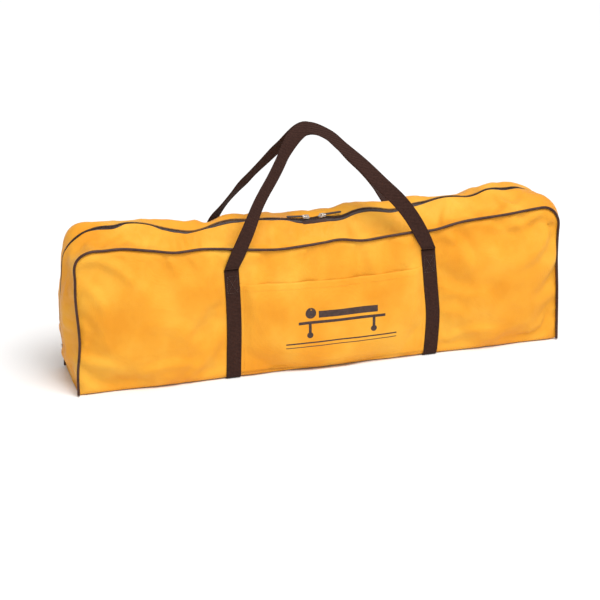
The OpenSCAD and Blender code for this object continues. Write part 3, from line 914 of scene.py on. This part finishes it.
def below_cloth(places, out, gap):
    """How far along out each place must move, 0 or less, to be at least gap below the gusset's cloth."""
    moves = np.zeros(len(places))
    for k, (p, o) in enumerate(zip(places, out)):
        hit = gusset_tree.ray_cast(Vector(p + o * 25), Vector(-o), 50)[0]
        if hit:
            moves[k] = min(0, (np.array(hit) - p) @ o - gap)
    return moves


def ridge_frame(along):
    """Place and outward direction on the zip's line at distances along it, as rows of x, y, z."""
    wander = flowing(ZIP_WANDER, along)
    x, z, nx, nz = (np.interp(along, ALONG, column) for column in (*RIDGE_LINE.T, *NORMAL.T))
    return np.column_stack([x, wander, z]), np.column_stack([nx, np.zeros(len(nx)), nz])


def along_at(x):
    """Distance along the seam of the point of the top at x."""
    return float(np.interp(x, PLACE[TOP][:, 0], ALONG[TOP]))


def zip_tape(name, side, start, end):
    """Half of the zip's tape between two distances along the seam."""
    along = np.linspace(start, end, max(4, int(abs(end - start) / 4)))
    middle, out = ridge_frame(along)
    rows = np.array([middle + out * height + np.array([0, side * y, 0]) for y, height in TAPE_PROFILE])
    moves = np.array([below_cloth(row, out, CLOTH_T + 0.5) for row in rows[1:]])
    ends = np.pad(moves, ((0, 0), (1, 1)), mode="edge")
    moves = np.minimum(moves, np.minimum(ends[:, :-2], ends[:, 2:]))
    rows[1:] += np.minimum.accumulate(moves)[..., None] * out
    under = [row - out * TAPE_T for row in rows]
    rings = np.array([*rows, *under[::-1]]).transpose(1, 0, 2)
    return skin(name, list(rings if side > 0 else rings[:, ::-1]))


TOOTH_PITCH, TOOTH_W = 2.1, 1.25
# side view of one tooth, from the tape over to the zip's middle: distance from the middle, and height
TOOTH = [(2.7, -1.0), (2.6, 0.5), (1.9, 1.1), (0.9, 1.1), (0.25, 0.6), (0.25, -0.6)]


def zip_teeth(name, side, start, end):
    """The teeth on one tape, which stand back where the sliders come to rest."""
    count = int((end - start) / TOOTH_PITCH)
    along = start + TOOTH_PITCH * (np.arange(count) + (0.5 if side > 0 else 0.05))
    middle, out = ridge_frame(along)
    from_middle = abs(middle[:, 0])
    from_wedge = np.minimum(from_middle - 8, abs(from_middle - WEDGE_X))
    back = STEP_BACK * (1 - smooth(6, 18, from_wedge))
    points, faces = [], []
    n = len(TOOTH)
    for p, o, b in zip(middle, out, back):
        way = np.array([o[2], 0, -o[0]]) * TOOTH_W / 2
        first = len(points)
        for shift, swell in ((-0.75, 1), (0.75, 1), (0, 1.12)):
            points += [p + way * shift + o * h * swell + np.array([0, side * (y + b), 0]) for y, h in TOOTH]
        a, c, m = first, first + n, first + 2 * n
        for j in range(n):
            k = (j + 1) % n
            faces += [[a + j, a + k, m + k, m + j], [m + j, m + k, c + k, c + j]]
        faces += [[a + j for j in range(n)][::-1], [c + j for j in range(n)]]
    if side < 0:
        faces = [f[::-1] for f in faces]
    return mesh_object(name, points, faces)


def span(start, end):
    return along_at(start), along_at(end)


zip_end = ALONG[-1] - (ZIP_LOW - FOOT_Z)
for side, word in ((-1, "front"), (1, "back")):
    mouth = "mouth_" + word
    for kind, make, look in (("tape", zip_tape, "zip_cloth"), ("teeth", zip_teeth, "zip_coil")):
        node = f"zip_{kind}_{word}"
        middle = make(f"{node}_middle", side, *span(-SPLIT_X, SPLIT_X))
        finished(middle, look, mouth, [node])
        for hand, end in ((-1, "left"), (1, "right")):
            run = make(f"{node}_{end}", side, *sorted(span(hand * SPLIT_X, hand * MOUTH)))
            finished(run, look, None, [node])
            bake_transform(run)
            from_to = sorted([along_at(hand * MOUTH), hand * zip_end])
            rest = make(f"zip_end_{kind}_{end}_{word}", side, *from_to)
            finished(rest, look, "bag", [f"zip_end_{kind}_{end}"])

# ---- webbing: straps, handles and the stitching between them ----


def rounded_section(width, thick):
    """Outline of webbing cut across: flat, with beaded edges. Rows of (across, out)."""
    w, t = width / 2, thick / 2
    quarter = [(w - 2.6, t * 0.9), (w - 1.5, t * 1.15), (w - 0.4, t * 0.8), (w, 0)]
    half = [(0, t * 0.9), (w / 2, t * 0.95), *quarter]
    lower = [(a, -o) for a, o in reversed(half[:-1])]
    right = half + lower
    return right + [(-a, o) for a, o in reversed(right[1:-1])]


def ribbon(name, path, across, width=None, thick=2.2):
    """Webbing along path, its width lying along across at each point."""
    path, across = np.array(path, float), np.array(across, float)
    along = unit(np.gradient(path, axis=0))
    across = unit(across)
    out = unit(np.cross(across, along))
    width = np.broadcast_to(WEB_W if width is None else width, len(path))
    rings = []
    for p, a, o, w in zip(path, across, out, width):
        rings.append([p + a * (s * w / WEB_W) + o * t for s, t in rounded_section(WEB_W, thick)])
    return skin(name, rings)


WEB_T = STRAP_Y - FACE_Y
STRAP_W = WEB_W + 0.8


def strap_path():
    """Strap centreline in (y, z) from the fold down the front, under the bag and up the back."""
    y, z = STRAP_Y - WEB_T / 2, WEB_T / 2 + 0.15
    down = [(-y, h) for h in np.linspace(FOLD_Z - 0.5, 8, 34)]
    turn = [(-y + 1.2, 4), (-y + 3.4, 1.9)]
    under = [(v, z) for v in np.linspace(-y + 8, y - 8, 18)]
    half = down + turn
    return np.array(half + under + [(-a, b) for a, b in reversed(half)])


def strap_piece(name, k):
    path = strap_path()
    places = np.column_stack([strap_at(k, path[:, 1]), path])
    places[:, 1] += 0.25 * ripple(places, 18, k) * np.sign(places[:, 1]) * (places[:, 2] > 10)
    return ribbon(name, places, np.tile((1.0, 0, 0), (len(places), 1)), STRAP_W, WEB_T)


for k, word in enumerate(("left", "right")):
    finished(strap_piece(f"strap_{word}_web", k), "webbing", "bag", ["strap_" + word])

# the handle loop in front view, as shares of the half distance between the straps and of the rise
LOOP_ROUTE = [
    (-0.983, 0), (-0.9, 0.15), (-0.805, 0.308), (-0.697, 0.458), (-0.612, 0.555), (-0.515, 0.654),
    (-0.428, 0.752), (-0.345, 0.852), (-0.23, 0.955), (-0.09, 1), (0.085, 0.94), (0.21, 0.845),
    (0.395, 0.697), (0.56, 0.545), (0.708, 0.416), (0.806, 0.304), (0.9, 0.17), (1, 0)
]
BACK_ROUTE = [
    (-0.983, 0), (-0.96, 0.1), (-0.925, 0.195), (-0.85, 0.286), (-0.762, 0.4), (-0.632, 0.555),
    (-0.478, 0.715), (-0.362, 0.836), (-0.245, 0.94), (-0.1, 1), (0.085, 0.94), (0.21, 0.845), (0.38, 0.69),
    (0.53, 0.545), (0.664, 0.416), (0.77, 0.304), (0.885, 0.16), (1, 0)
]
STRAP_MID, STRAP_HALF = (STRAPS[0] + STRAPS[1]) / 2, (STRAPS[1] - STRAPS[0]) / 2
BEND_Z = SEAM_Z + 30
APEX_Y, APEX_LEAN = 3.5, 0.6


def handle_path(side, top, route):
    """Centreline of a handle loop, from its left fold to its right fold."""
    points = []
    for across, up in route:
        z = mix(HINGE_Z, top, up)
        y = mix(HINGE_Y, APEX_Y, max(0, z - BEND_Z) / (top - BEND_Z))
        points.append((STRAP_MID + across * STRAP_HALF, side * y, z))
    return between(points, 7)


def handle_piece(name, side, top, route, twists):
    """A handle loop. twists are (share of its length, turn in degrees) on top of its plain lie."""
    path = handle_path(side, top, route)
    along = unit(np.gradient(path, axis=0))
    run = np.linalg.norm(np.diff(path, axis=0), axis=1).cumsum()
    share = np.concatenate([[0], run]) / run[-1]
    lean = APEX_LEAN * smooth(0, 0.8, (path[:, 2] - BEND_Z) / (top - BEND_Z))
    across = unit(np.cross(along, np.column_stack([np.zeros(len(path)), lean - 1, lean])))
    level = smooth(0, 30, path[:, 2] - HINGE_Z)[:, None]
    across = unit(mix(np.sign(across[:, :1]) * [1, 0, 0], across, level))
    turn = np.radians(flowing(twists, share))[:, None]
    across = across * np.cos(turn) + np.cross(along, across) * np.sin(turn)
    return ribbon(name, path, across, STRAP_W, WEB_T)


FOLD_R = 1.5
LOOP_TOP = HANDLE_TOP - 6.5
for side, word, top, route, twists in (
    (-1, "front", LOOP_TOP, LOOP_ROUTE, [
        (0, 0), (0.1, 6), (0.2, 26), (0.3, 44), (0.38, 46), (0.44, 14), (0.5, 0), (0.66, 0), (0.8, 4), (1, 0)
    ]),
    (1, "back", LOOP_TOP - 2.5, BACK_ROUTE, [
        (0, 0), (0.05, 22), (0.1, 46), (0.14, 52), (0.18, 52), (0.22, 50), (0.26, 65), (0.31, 79), (0.36, 87),
        (0.42, 82), (0.46, 42), (0.5, 4), (0.55, 0), (0.66, -10), (0.74, -52), (0.86, -62), (0.93, -46),
        (0.97, -10), (1, 0)
    ])
):
    loop = handle_piece(f"handle_{word}_web", side, top, route, twists)
    finished(loop, "webbing", "handle_" + word, ["handle_" + word])
    for k, hand in enumerate(("left", "right")):
        x = float(strap_at(k, HINGE_Z))
        xs = np.linspace(x - WEB_W / 2 + 0.3, x + WEB_W / 2 - 0.3, 12)
        ends = np.column_stack([xs, np.full(12, side * HINGE_Y), np.full(12, HINGE_Z)])
        fold = tube(f"handle_{word}_fold_{hand}", ends, FOLD_R * (1 + 0.05 * ripple(ends, 5, x)), 14)
        finished(fold, "webbing", "handle_" + word)


def stitches(name, lines, radius=0.35, length=2.6, gap=1.3):
    """Thread stitches along lines of points, each a short rounded bead."""
    points, faces = [], []
    sides, profile = 5, [(-0.5, 0.35), (-0.25, 1), (0.25, 1), (0.5, 0.35)]
    for line in lines:
        line = np.array(line, float)
        reach = np.concatenate([[0], np.linalg.norm(np.diff(line, axis=0), axis=1).cumsum()])
        for start in np.arange(0.5, reach[-1] - length, length + gap):
            a, b = (np.array([np.interp(s, reach, axis) for axis in line.T]) for s in (start, start + length))
            way = (b - a) / np.linalg.norm(b - a)
            side = np.cross(way, (0.31, 0.86, 0.4))
            side /= np.linalg.norm(side)
            up = np.cross(way, side)
            first = len(points)
            for share, size in profile:
                centre = (a + b) / 2 + way * share * length
                for k in range(sides):
                    turn = 2 * math.pi * k / sides
                    points.append(centre + radius * size * (math.cos(turn) * side + math.sin(turn) * up))
            for ring in range(len(profile) - 1):
                for k in range(sides):
                    m, r = (k + 1) % sides, first + ring * sides
                    faces.append([r + k, r + m, r + sides + m, r + sides + k])
            last = first + (len(profile) - 1) * sides
            faces += [[first + k for k in range(sides)][::-1], [last + k for k in range(sides)]]
    return mesh_object(name, points, faces)


def straight(a, b, n=2):
    return np.array([mix(np.array(a, float), np.array(b, float), t) for t in np.linspace(0, 1, n)])


BOX_W, BOX_H, BOX_MID = WEB_W - 7, 30, FOLD_Z - 27
box_lines = []
for side in (-1, 1):
    for k in (0, 1):
        x, y = float(strap_at(k, BOX_MID)), side * (STRAP_Y + 0.15)
        l, r, b, t = x - BOX_W / 2, x + BOX_W / 2, BOX_MID - BOX_H / 2, BOX_MID + BOX_H / 2
        corners = [(l, y, b), (r, y, b), (r, y, t), (l, y, t), (l, y, b)]
        box_lines += [straight(p, q) for p, q in zip(corners, corners[1:])]
        box_lines += [straight(corners[0], corners[2]), straight(corners[1], corners[3])]
finished(stitches("strap_box_stitches", box_lines), "thread", "bag", ["strap_stitching"])

# ---- pocket between the straps, with its hem, stitching and a plain pictogram ----

POCKET_X = (STRAPS[0] + WEB_W / 2 - 4, STRAPS[1] - WEB_W / 2 + 4)
POCKET_TOP, POCKET_FOOT = box_mm("pocket_cloth")[1][2], 9
HEM = 11
INK_LIFT = 0.12

wrap_tree = surface_tree(points, WRAP_FACES)


def front_y(x, z):
    """Where the front of the bag's cloth is, straight in from the front."""
    hit = wrap_tree.ray_cast(Vector((x, -300, z)), Vector((0, 1, 0)))[0]
    return hit.y if hit else -FACE_Y


def pocket_side(k, z):
    """The pocket's left or right edge, which follows the strap that it is sewn under."""
    return POCKET_X[k] + float(flowing(STRAP_BOWS[k], z))


def pocket_top(x):
    """The pocket's open edge, which sags between the straps."""
    share = (x - POCKET_X[0]) / (POCKET_X[1] - POCKET_X[0])
    return POCKET_TOP - 2 - 5 * np.sin(math.pi * np.clip(share, 0, 1)) ** 2 - 3 * share


def pocket_point(x, z):
    """A point on the outside of the pocket cloth."""
    edge = min(x - pocket_side(0, z), pocket_side(1, z) - x)
    share = z / pocket_top(x)
    free = float(smooth(3, 24, edge))
    stand = 1.2 + 0.5 * smooth(0.6, 0.8, share) * (1 - smooth(0.8, 1, share))
    wave = 0.8 * noise.noise(Vector((x / 38, z / 50, 4))) * free
    return np.array([x, mix(-FACE_Y - 0.9, pocket_rest(x, z) - stand + wave, free), z])


def pocket_rest(x, z):
    """The front of the bag, evened out over a hand's width so that the pocket bridges small hollows."""
    near = [front_y(x + dx, min(z + dz, 196)) for dx in (-14, 0, 14) for dz in (-12, 0, 12)]
    return 0.5 * min(near) + 0.5 * float(np.mean(near))


def pocket_piece():
    """The pocket's cloth with its top edge turned over into a hem."""
    outer = []
    for share in np.linspace(0, 1, 76):
        heights = np.linspace(POCKET_FOOT, pocket_top(mix(*POCKET_X, share)), 40)
        column = [pocket_point(mix(pocket_side(0, z), pocket_side(1, z), share), z) for z in heights]
        lip = column[-1] + np.array([0, 0.6, 0.5])
        back = [p + np.array([0, 1.0, 0]) for p in column[::-1]]
        outer.append([*column, lip, *back])
    return skin("pocket_sheet", outer)


pocket = pocket_piece()
finished(pocket, "coated_cloth", "bag", ["pocket_cloth"])


def on_pocket(x, z, lift):
    return pocket_point(x, z) - np.array([0, lift, 0])


seams = []
for k, inset in ((0, 10), (1, -10)):
    heights = np.linspace(POCKET_FOOT + 1, pocket_top(POCKET_X[k]) - 2, 30)
    seams.append([on_pocket(pocket_side(k, z) + inset, z, 0.15) for z in heights])
for low in (True, False):
    xs = np.linspace(POCKET_X[0] + 6, POCKET_X[1] - 6, 70)
    seams.append([on_pocket(x, POCKET_FOOT + 3 if low else pocket_top(x) - HEM, 0.15) for x in xs])
finished(stitches("pocket_stitches", seams), "coated_cloth", "bag")


def printed(name, bars, discs):
    """Flat ink in small faces that follow the pocket. Bars are (x0, z0, x1, z1), discs (x, z, radius)."""
    points, faces = [], []
    for x0, z0, x1, z1 in bars:
        nx, nz = (max(1, int(d / 3)) for d in (x1 - x0, z1 - z0))
        first = len(points)
        grid = [(x, z) for x in np.linspace(x0, x1, nx + 1) for z in np.linspace(z0, z1, nz + 1)]
        points += [on_pocket(x, z, INK_LIFT) for x, z in grid]
        for i in range(nx):
            for j in range(nz):
                a = first + i * (nz + 1) + j
                faces.append([a, a + nz + 1, a + nz + 2, a + 1])
    for x, z, r in discs:
        first = len(points)
        turns = circle(28)
        rounds = [(c * r * math.cos(t), c * r * math.sin(t)) for c in (0.5, 1) for t in turns]
        points += [on_pocket(x + dx, z + dz, INK_LIFT) for dx, dz in rounds]
        faces.append([first + k for k in range(28)])
        nexts = [(k, (k + 1) % 28) for k in range(28)]
        faces += [[first + a, first + 28 + a, first + 28 + b, first + b] for a, b in nexts]
    return mesh_object(name, points, faces)


PICTO_X = 24
bars = [
    (PICTO_X + x0, z0, PICTO_X + x1, z1) for x0, z0, x1, z1 in (
        (-78, 89, 78, 94), (-42, 99, 64, 111), (-60, 74, -55, 89), (55, 74, 60, 89), (-100, 54, 100, 56.4),
        (-100, 47.5, 100, 48.9)
    )
]
discs = [(PICTO_X - 56, 108, 9.5), (PICTO_X - 57.5, 69, 5.5), (PICTO_X + 57.5, 69, 5.5)]
ink = moulded("ink", (0.03, 0.013, 0.01), (0.06, 0.03, 0.022), (0.5, 0.65))
finished(printed("pocket_pictogram", bars, discs), "coated_cloth", "bag", material=ink)

# ---- the folded stretcher ----

BINDING_R = 2.1


def pad(name, low, high, seams, rim=1.5, corner=9):
    """A quilted pad that fills a box, drawn in to a thin edge and along its seams, given as heights."""
    low, high = low + BINDING_R * np.array([1, 0, 1]), high - BINDING_R * np.array([1, 0, 1])
    middle, half = (low[1] + high[1]) / 2, (high[1] - low[1]) / 2 - 0.3
    ends = np.array([0, 0.6, 1.6, 3, 5, 7, 9, 12])
    xs = np.concatenate([low[0] + ends, np.arange(low[0] + 20, high[0] - 16, 7.5), high[0] - ends[::-1]])
    rings = []
    for x in xs:
        inset = max(0, corner - min(x - low[0], high[0] - x))
        cut = corner - math.sqrt(corner ** 2 - inset ** 2)
        z = np.linspace(low[2] + cut, high[2] - cut, 66)
        edge = np.clip(np.minimum(min(x - low[0], high[0] - x), np.minimum(z - z[0], z[-1] - z)) / 7, 0, 1)
        full = np.sqrt(1 - (1 - edge) ** 2)
        for k, seam in enumerate(seams):
            pucker = 0.1 * noise.noise(Vector((x / 9, k * 5, middle)))
            full = full * (1 - (0.72 + pucker) * np.exp(-((z - seam) / 4) ** 2))
        swell = 1 - 0.08 * np.array([1 + noise.noise(Vector((x / 45, v / 30, middle))) for v in z]) * full
        thick = rim + (half - rim) * full * swell
        back, front = np.column_stack([middle + thick, z]), np.column_stack([middle - thick, z])
        rings.append([(x, *p) for p in [*back, *front[::-1]]])
    return skin(name, rings)


def outline(low, high, corner=9):
    """A closed path round the edge of a pad, at its middle, that starts and ends on its lower edge."""
    middle = (low[1] + high[1]) / 2
    l, r, b, t = low[0] + BINDING_R, high[0] - BINDING_R, low[2] + BINDING_R, high[2] - BINDING_R
    path = [(mix(l, r, 0.5), middle, b)]
    l, r, b, t = l + corner, r - corner, b + corner, t - corner
    for x, z, start in ((r, b, -90), (r, t, 0), (l, t, 90), (l, b, 180)):
        for turn in np.radians(start + np.linspace(0, 90, 7)):
            path.append((x + corner * math.cos(turn), middle, z + corner * math.sin(turn)))
    return path + [(mix(l, r, 0.5) + 2, middle, b - corner)]


def quilted(name, low, high, seams, slot, replaced):
    """A bound and stitched pad of the stretcher."""
    piece = finished(pad(name, low, high, seams), slot, "bag", replaced)
    edge = tube(name + "_binding", outline(low, high), BINDING_R, 10)
    finished(edge, "black_webbing", "bag")
    middle, lines = (low[1] + high[1]) / 2, []
    for seam in seams:
        for side in (-1, 1):
            y = middle + side * (0.28 * (high[1] - low[1]) / 2 + 0.9)
            lines.append(straight((low[0] + 12, y, seam), (high[0] - 12, y, seam)))
    threads = stitches(name + "_stitches", lines, 0.4, 4.5, 3)
    finished(threads, "black_webbing", "bag")


back_low, back_high = box_mm("stretcher_back")
SLATS = 6
slat_pitch = (back_high[2] - back_low[2]) / SLATS
back_seams = [back_low[2] + slat_pitch * k for k in range(1, SLATS)]
quilted("stretcher_back_pad", back_low, back_high, back_seams, "stretcher_cloth", ["stretcher_back"])
for word in ("left", "right"):
    low, high = box_mm("stretcher_wing_" + word)
    seams = [mix(low[2], high[2], k / 4) for k in (1, 2, 3)]
    quilted(f"stretcher_wing_{word}_pad", low, high, seams, "stretcher_cloth", ["stretcher_wing_" + word])
low, high = box_mm("stretcher_head_flaps")
FLAP_T = 18
for k, (y0, y1) in enumerate(((high[1] - FLAP_T, high[1]), (low[1], low[1] + FLAP_T))):
    flap = np.array([low[0], y0, low[2]]), np.array([high[0], y1, high[2]])
    seams = [mix(low[2], high[2], share) for share in (1 / 3, 2 / 3)]
    quilted(f"stretcher_head_flap_{k + 1}", *flap, seams, "stretcher_cloth", ["stretcher_head_flaps"])


def neck_roll():
    """A round pillow with its cover gathered at both ends."""
    low, high = box_mm("stretcher_neck_roll")
    centre, radius, length = (low + high) / 2, (high[2] - low[2]) / 2, high[0] - low[0]
    end = [(5, 0.08), (2.5, 0.2), (0.8, 0.45), (0.2, 0.65), (1, 0.82), (4, 0.93), (9, 0.98), (16, 1)]
    profile = end + [(x, 0.995) for x in np.linspace(28, length - 28, 24)]
    profile += [(length - x, r) for x, r in end[::-1]]
    turns = circle(72)
    rings = []
    for x, share in profile:
        gather = 0.05 * math.exp(-min(x, length - x) / 14) * np.cos(turns * 18)
        places = [(x / 60, 2 * math.cos(t), 2 * math.sin(t)) for t in turns]
        lumps = 0.02 * np.array([noise.noise(Vector(p)) for p in places])
        r = (radius - 1) * share * (1 + gather + lumps)
        y, z = centre[1] + r * np.cos(turns), centre[2] + r * np.sin(turns)
        rings.append(np.column_stack([np.full(72, low[0] + x), y, z]))
    return skin("stretcher_neck_pillow", rings)


roll = finished(neck_roll(), "roll_pad", "bag", ["stretcher_neck_roll"])


def wound(name, x, y, low, high):
    """A body strap rolled up on itself, its width upright."""
    outer, inner, pitch = 19.2, 3.5, 2.1
    turns = np.linspace(0, 2 * math.pi * (outer - inner) / pitch, 230)
    reach = inner + pitch * turns / (2 * math.pi)
    reach[-10:] += np.linspace(0, 0.4, 10)
    height = np.full(230, (low + high) / 2)
    path = np.column_stack([x + reach * np.cos(turns), y + reach * np.sin(turns), height])
    path[:, 2] += 0.5 * np.sin(turns * 0.9)
    return ribbon(name, path, np.tile((0, 0, 1.0), (230, 1)), high - low - 1.6, 1.5)


for node, slot in (("chest_strap_upper", "green_webbing"), ("chest_strap_middle", "yellow_webbing"),
                   ("chest_strap_lower", "red_webbing"), ("leg_straps", "black_webbing")):
    low, high = box_mm(node)
    radius, middle_y = (high[1] - low[1]) / 2, (low[1] + high[1]) / 2
    centres = [low[0] + radius, high[0] - radius] if node == "leg_straps" else [low[0] + radius]
    for k, x in enumerate(centres):
        coil = wound(f"{node}_coil_{k + 1}", x, middle_y, low[2], high[2])
        finished(coil, slot, "bag", [node])


def lift_loop(name, middle_x, low, high):
    """A lifting loop of webbing, lying flat on the outside of the back section."""
    half, bend = 60 - WEB_W / 2, 13
    top, y = high[2] - WEB_W / 2, (low[1] + high[1]) / 2
    arc = np.radians(np.linspace(180, 90, 9))
    left = [(-half, z) for z in np.linspace(low[2] + 1, top - bend - 1, 8)]
    left += [(-half + bend + bend * math.cos(t), top - bend + bend * math.sin(t)) for t in arc]
    route = left + [(x, top) for x in (-12, 0, 12)] + [(-x, z) for x, z in left[::-1]]
    path = np.array([(middle_x + x, y, z) for x, z in route])
    along = np.gradient(path, axis=0)
    return ribbon(name, path, np.cross((0, 1.0, 0), along), WEB_W, high[1] - low[1] - 0.2)


low, high = box_mm("stretcher_lift_loops")
for k, x in enumerate((low[0] + 60, (low[0] + high[0]) / 2, high[0] - 60)):
    loop = lift_loop(f"stretcher_lift_loop_{k + 1}", x, low, high)
    finished(loop, "black_webbing", "bag", ["stretcher_lift_loops"])

# ---- moulded grips on the zip pulls ----


def grip(name, node, hand):
    """A rounded, ribbed grip moulded over the end of a pull's wire link."""
    low, high = box_mm(node)
    along = np.array([hand * math.cos(LEAN), 0, math.sin(LEAN)])
    up = np.array([-hand * math.sin(LEAN), 0, math.cos(LEAN)])
    half = (high[0] - low[0]) / 2 / math.cos(LEAN) - 0.2
    turns = circle(24)
    wide = np.sign(np.cos(turns)) * abs(np.cos(turns)) ** 0.6
    thick = np.sign(np.sin(turns)) * abs(np.sin(turns)) ** 0.7
    rings = []
    for share in np.linspace(-1, 1, 61):
        ends = math.sqrt(max(0.02, 1 - share ** 8))
        rib = 0.16 * math.cos(share * 22) * (1 - smooth(0.45, 0.6, abs(share)))
        waist = 2.7 + 0.5 * share * share
        ring = (low + high) / 2 + along * half * share + np.outer(thick, up) * (1.5 + rib) * ends
        ring[:, 1] += wide * waist * ends
        rings.append(ring if hand < 0 else ring[::-1])
    return skin(name, rings)


for hand, word in ((-1, "left"), (1, "right")):
    node = "pull_tab_" + word
    finished(grip(f"pull_grip_{word}", node, hand), "pull_moulding", "pull_" + word, [node])

# ---- worn edges on the hard parts kept from the frame ----

BEVELS = {"strap_buckles": 0.8, "stretcher_slats": 1.2, "zip_stops": 0.3}
BEVELS |= {"slider_left": 0.25, "slider_right": 0.25}
for name, width in BEVELS.items():
    bevel = frame["nodes"][name].modifiers.new("worn_edges", "BEVEL")
    bevel.width = width * MM
    bevel.segments = 2
    bevel.limit_method = "ANGLE"

# ---- camera, light and floor ----


def look_at(obj, target):
    obj.rotation_euler = (Vector(target) - obj.location).to_track_quat("-Z", "Y").to_euler()


def area_light(name, place, power, size):
    light = bpy.data.objects.new(name, bpy.data.lights.new(name, "AREA"))
    light.data.energy = power
    light.data.size = size
    light.location = place
    bpy.context.scene.collection.objects.link(light)
    look_at(light, (0, 0, 0.1))


TARGET = Vector((-0.025, 0, 0.102))
AZIMUTH, ELEVATION, DISTANCE = math.radians(-17.55), math.radians(20.34), 3.478
camera = bpy.data.objects.new("camera", bpy.data.cameras.new("camera"))
bpy.context.scene.collection.objects.link(camera)
camera.data.lens = 120
camera.data.sensor_width = 36
camera.location = TARGET + DISTANCE * Vector((
    math.sin(AZIMUTH) * math.cos(ELEVATION), -math.cos(AZIMUTH) * math.cos(ELEVATION), math.sin(ELEVATION)
))
look_at(camera, TARGET)
bpy.context.scene.camera = camera

sun = bpy.data.objects.new("soft_sun", bpy.data.lights.new("soft_sun", "SUN"))
sun.data.energy = 2.35
sun.data.angle = math.radians(40)
sun.location = (0.35, -1.25, 2.4)
bpy.context.scene.collection.objects.link(sun)
look_at(sun, (0, 0, 0.1))
area_light("key", (0.1, -0.8, 1.3), 6, 0.9)

world = bpy.data.worlds.new("studio")
bpy.context.scene.world = world
world.use_nodes = True
world.node_tree.nodes["Background"].inputs["Color"].default_value = (1, 1, 1, 1)
world.node_tree.nodes["Background"].inputs["Strength"].default_value = 0.52
bpy.context.scene.view_settings.view_transform = "Standard"

FLOOR_HALF = 60000
corners = [(x * FLOOR_HALF, y * FLOOR_HALF, 0) for x, y in ((-1, -1), (1, -1), (1, 1), (-1, 1))]
floor = mesh_object("floor", corners, [[0, 1, 2, 3]])
paper = Look("floor", Roughness=0.9)
paper.colour(paper.noise(3), (0.0, (0.86, 0.86, 0.86)), (1.0, (0.9, 0.9, 0.9)))
floor.data.materials.append(paper.material)
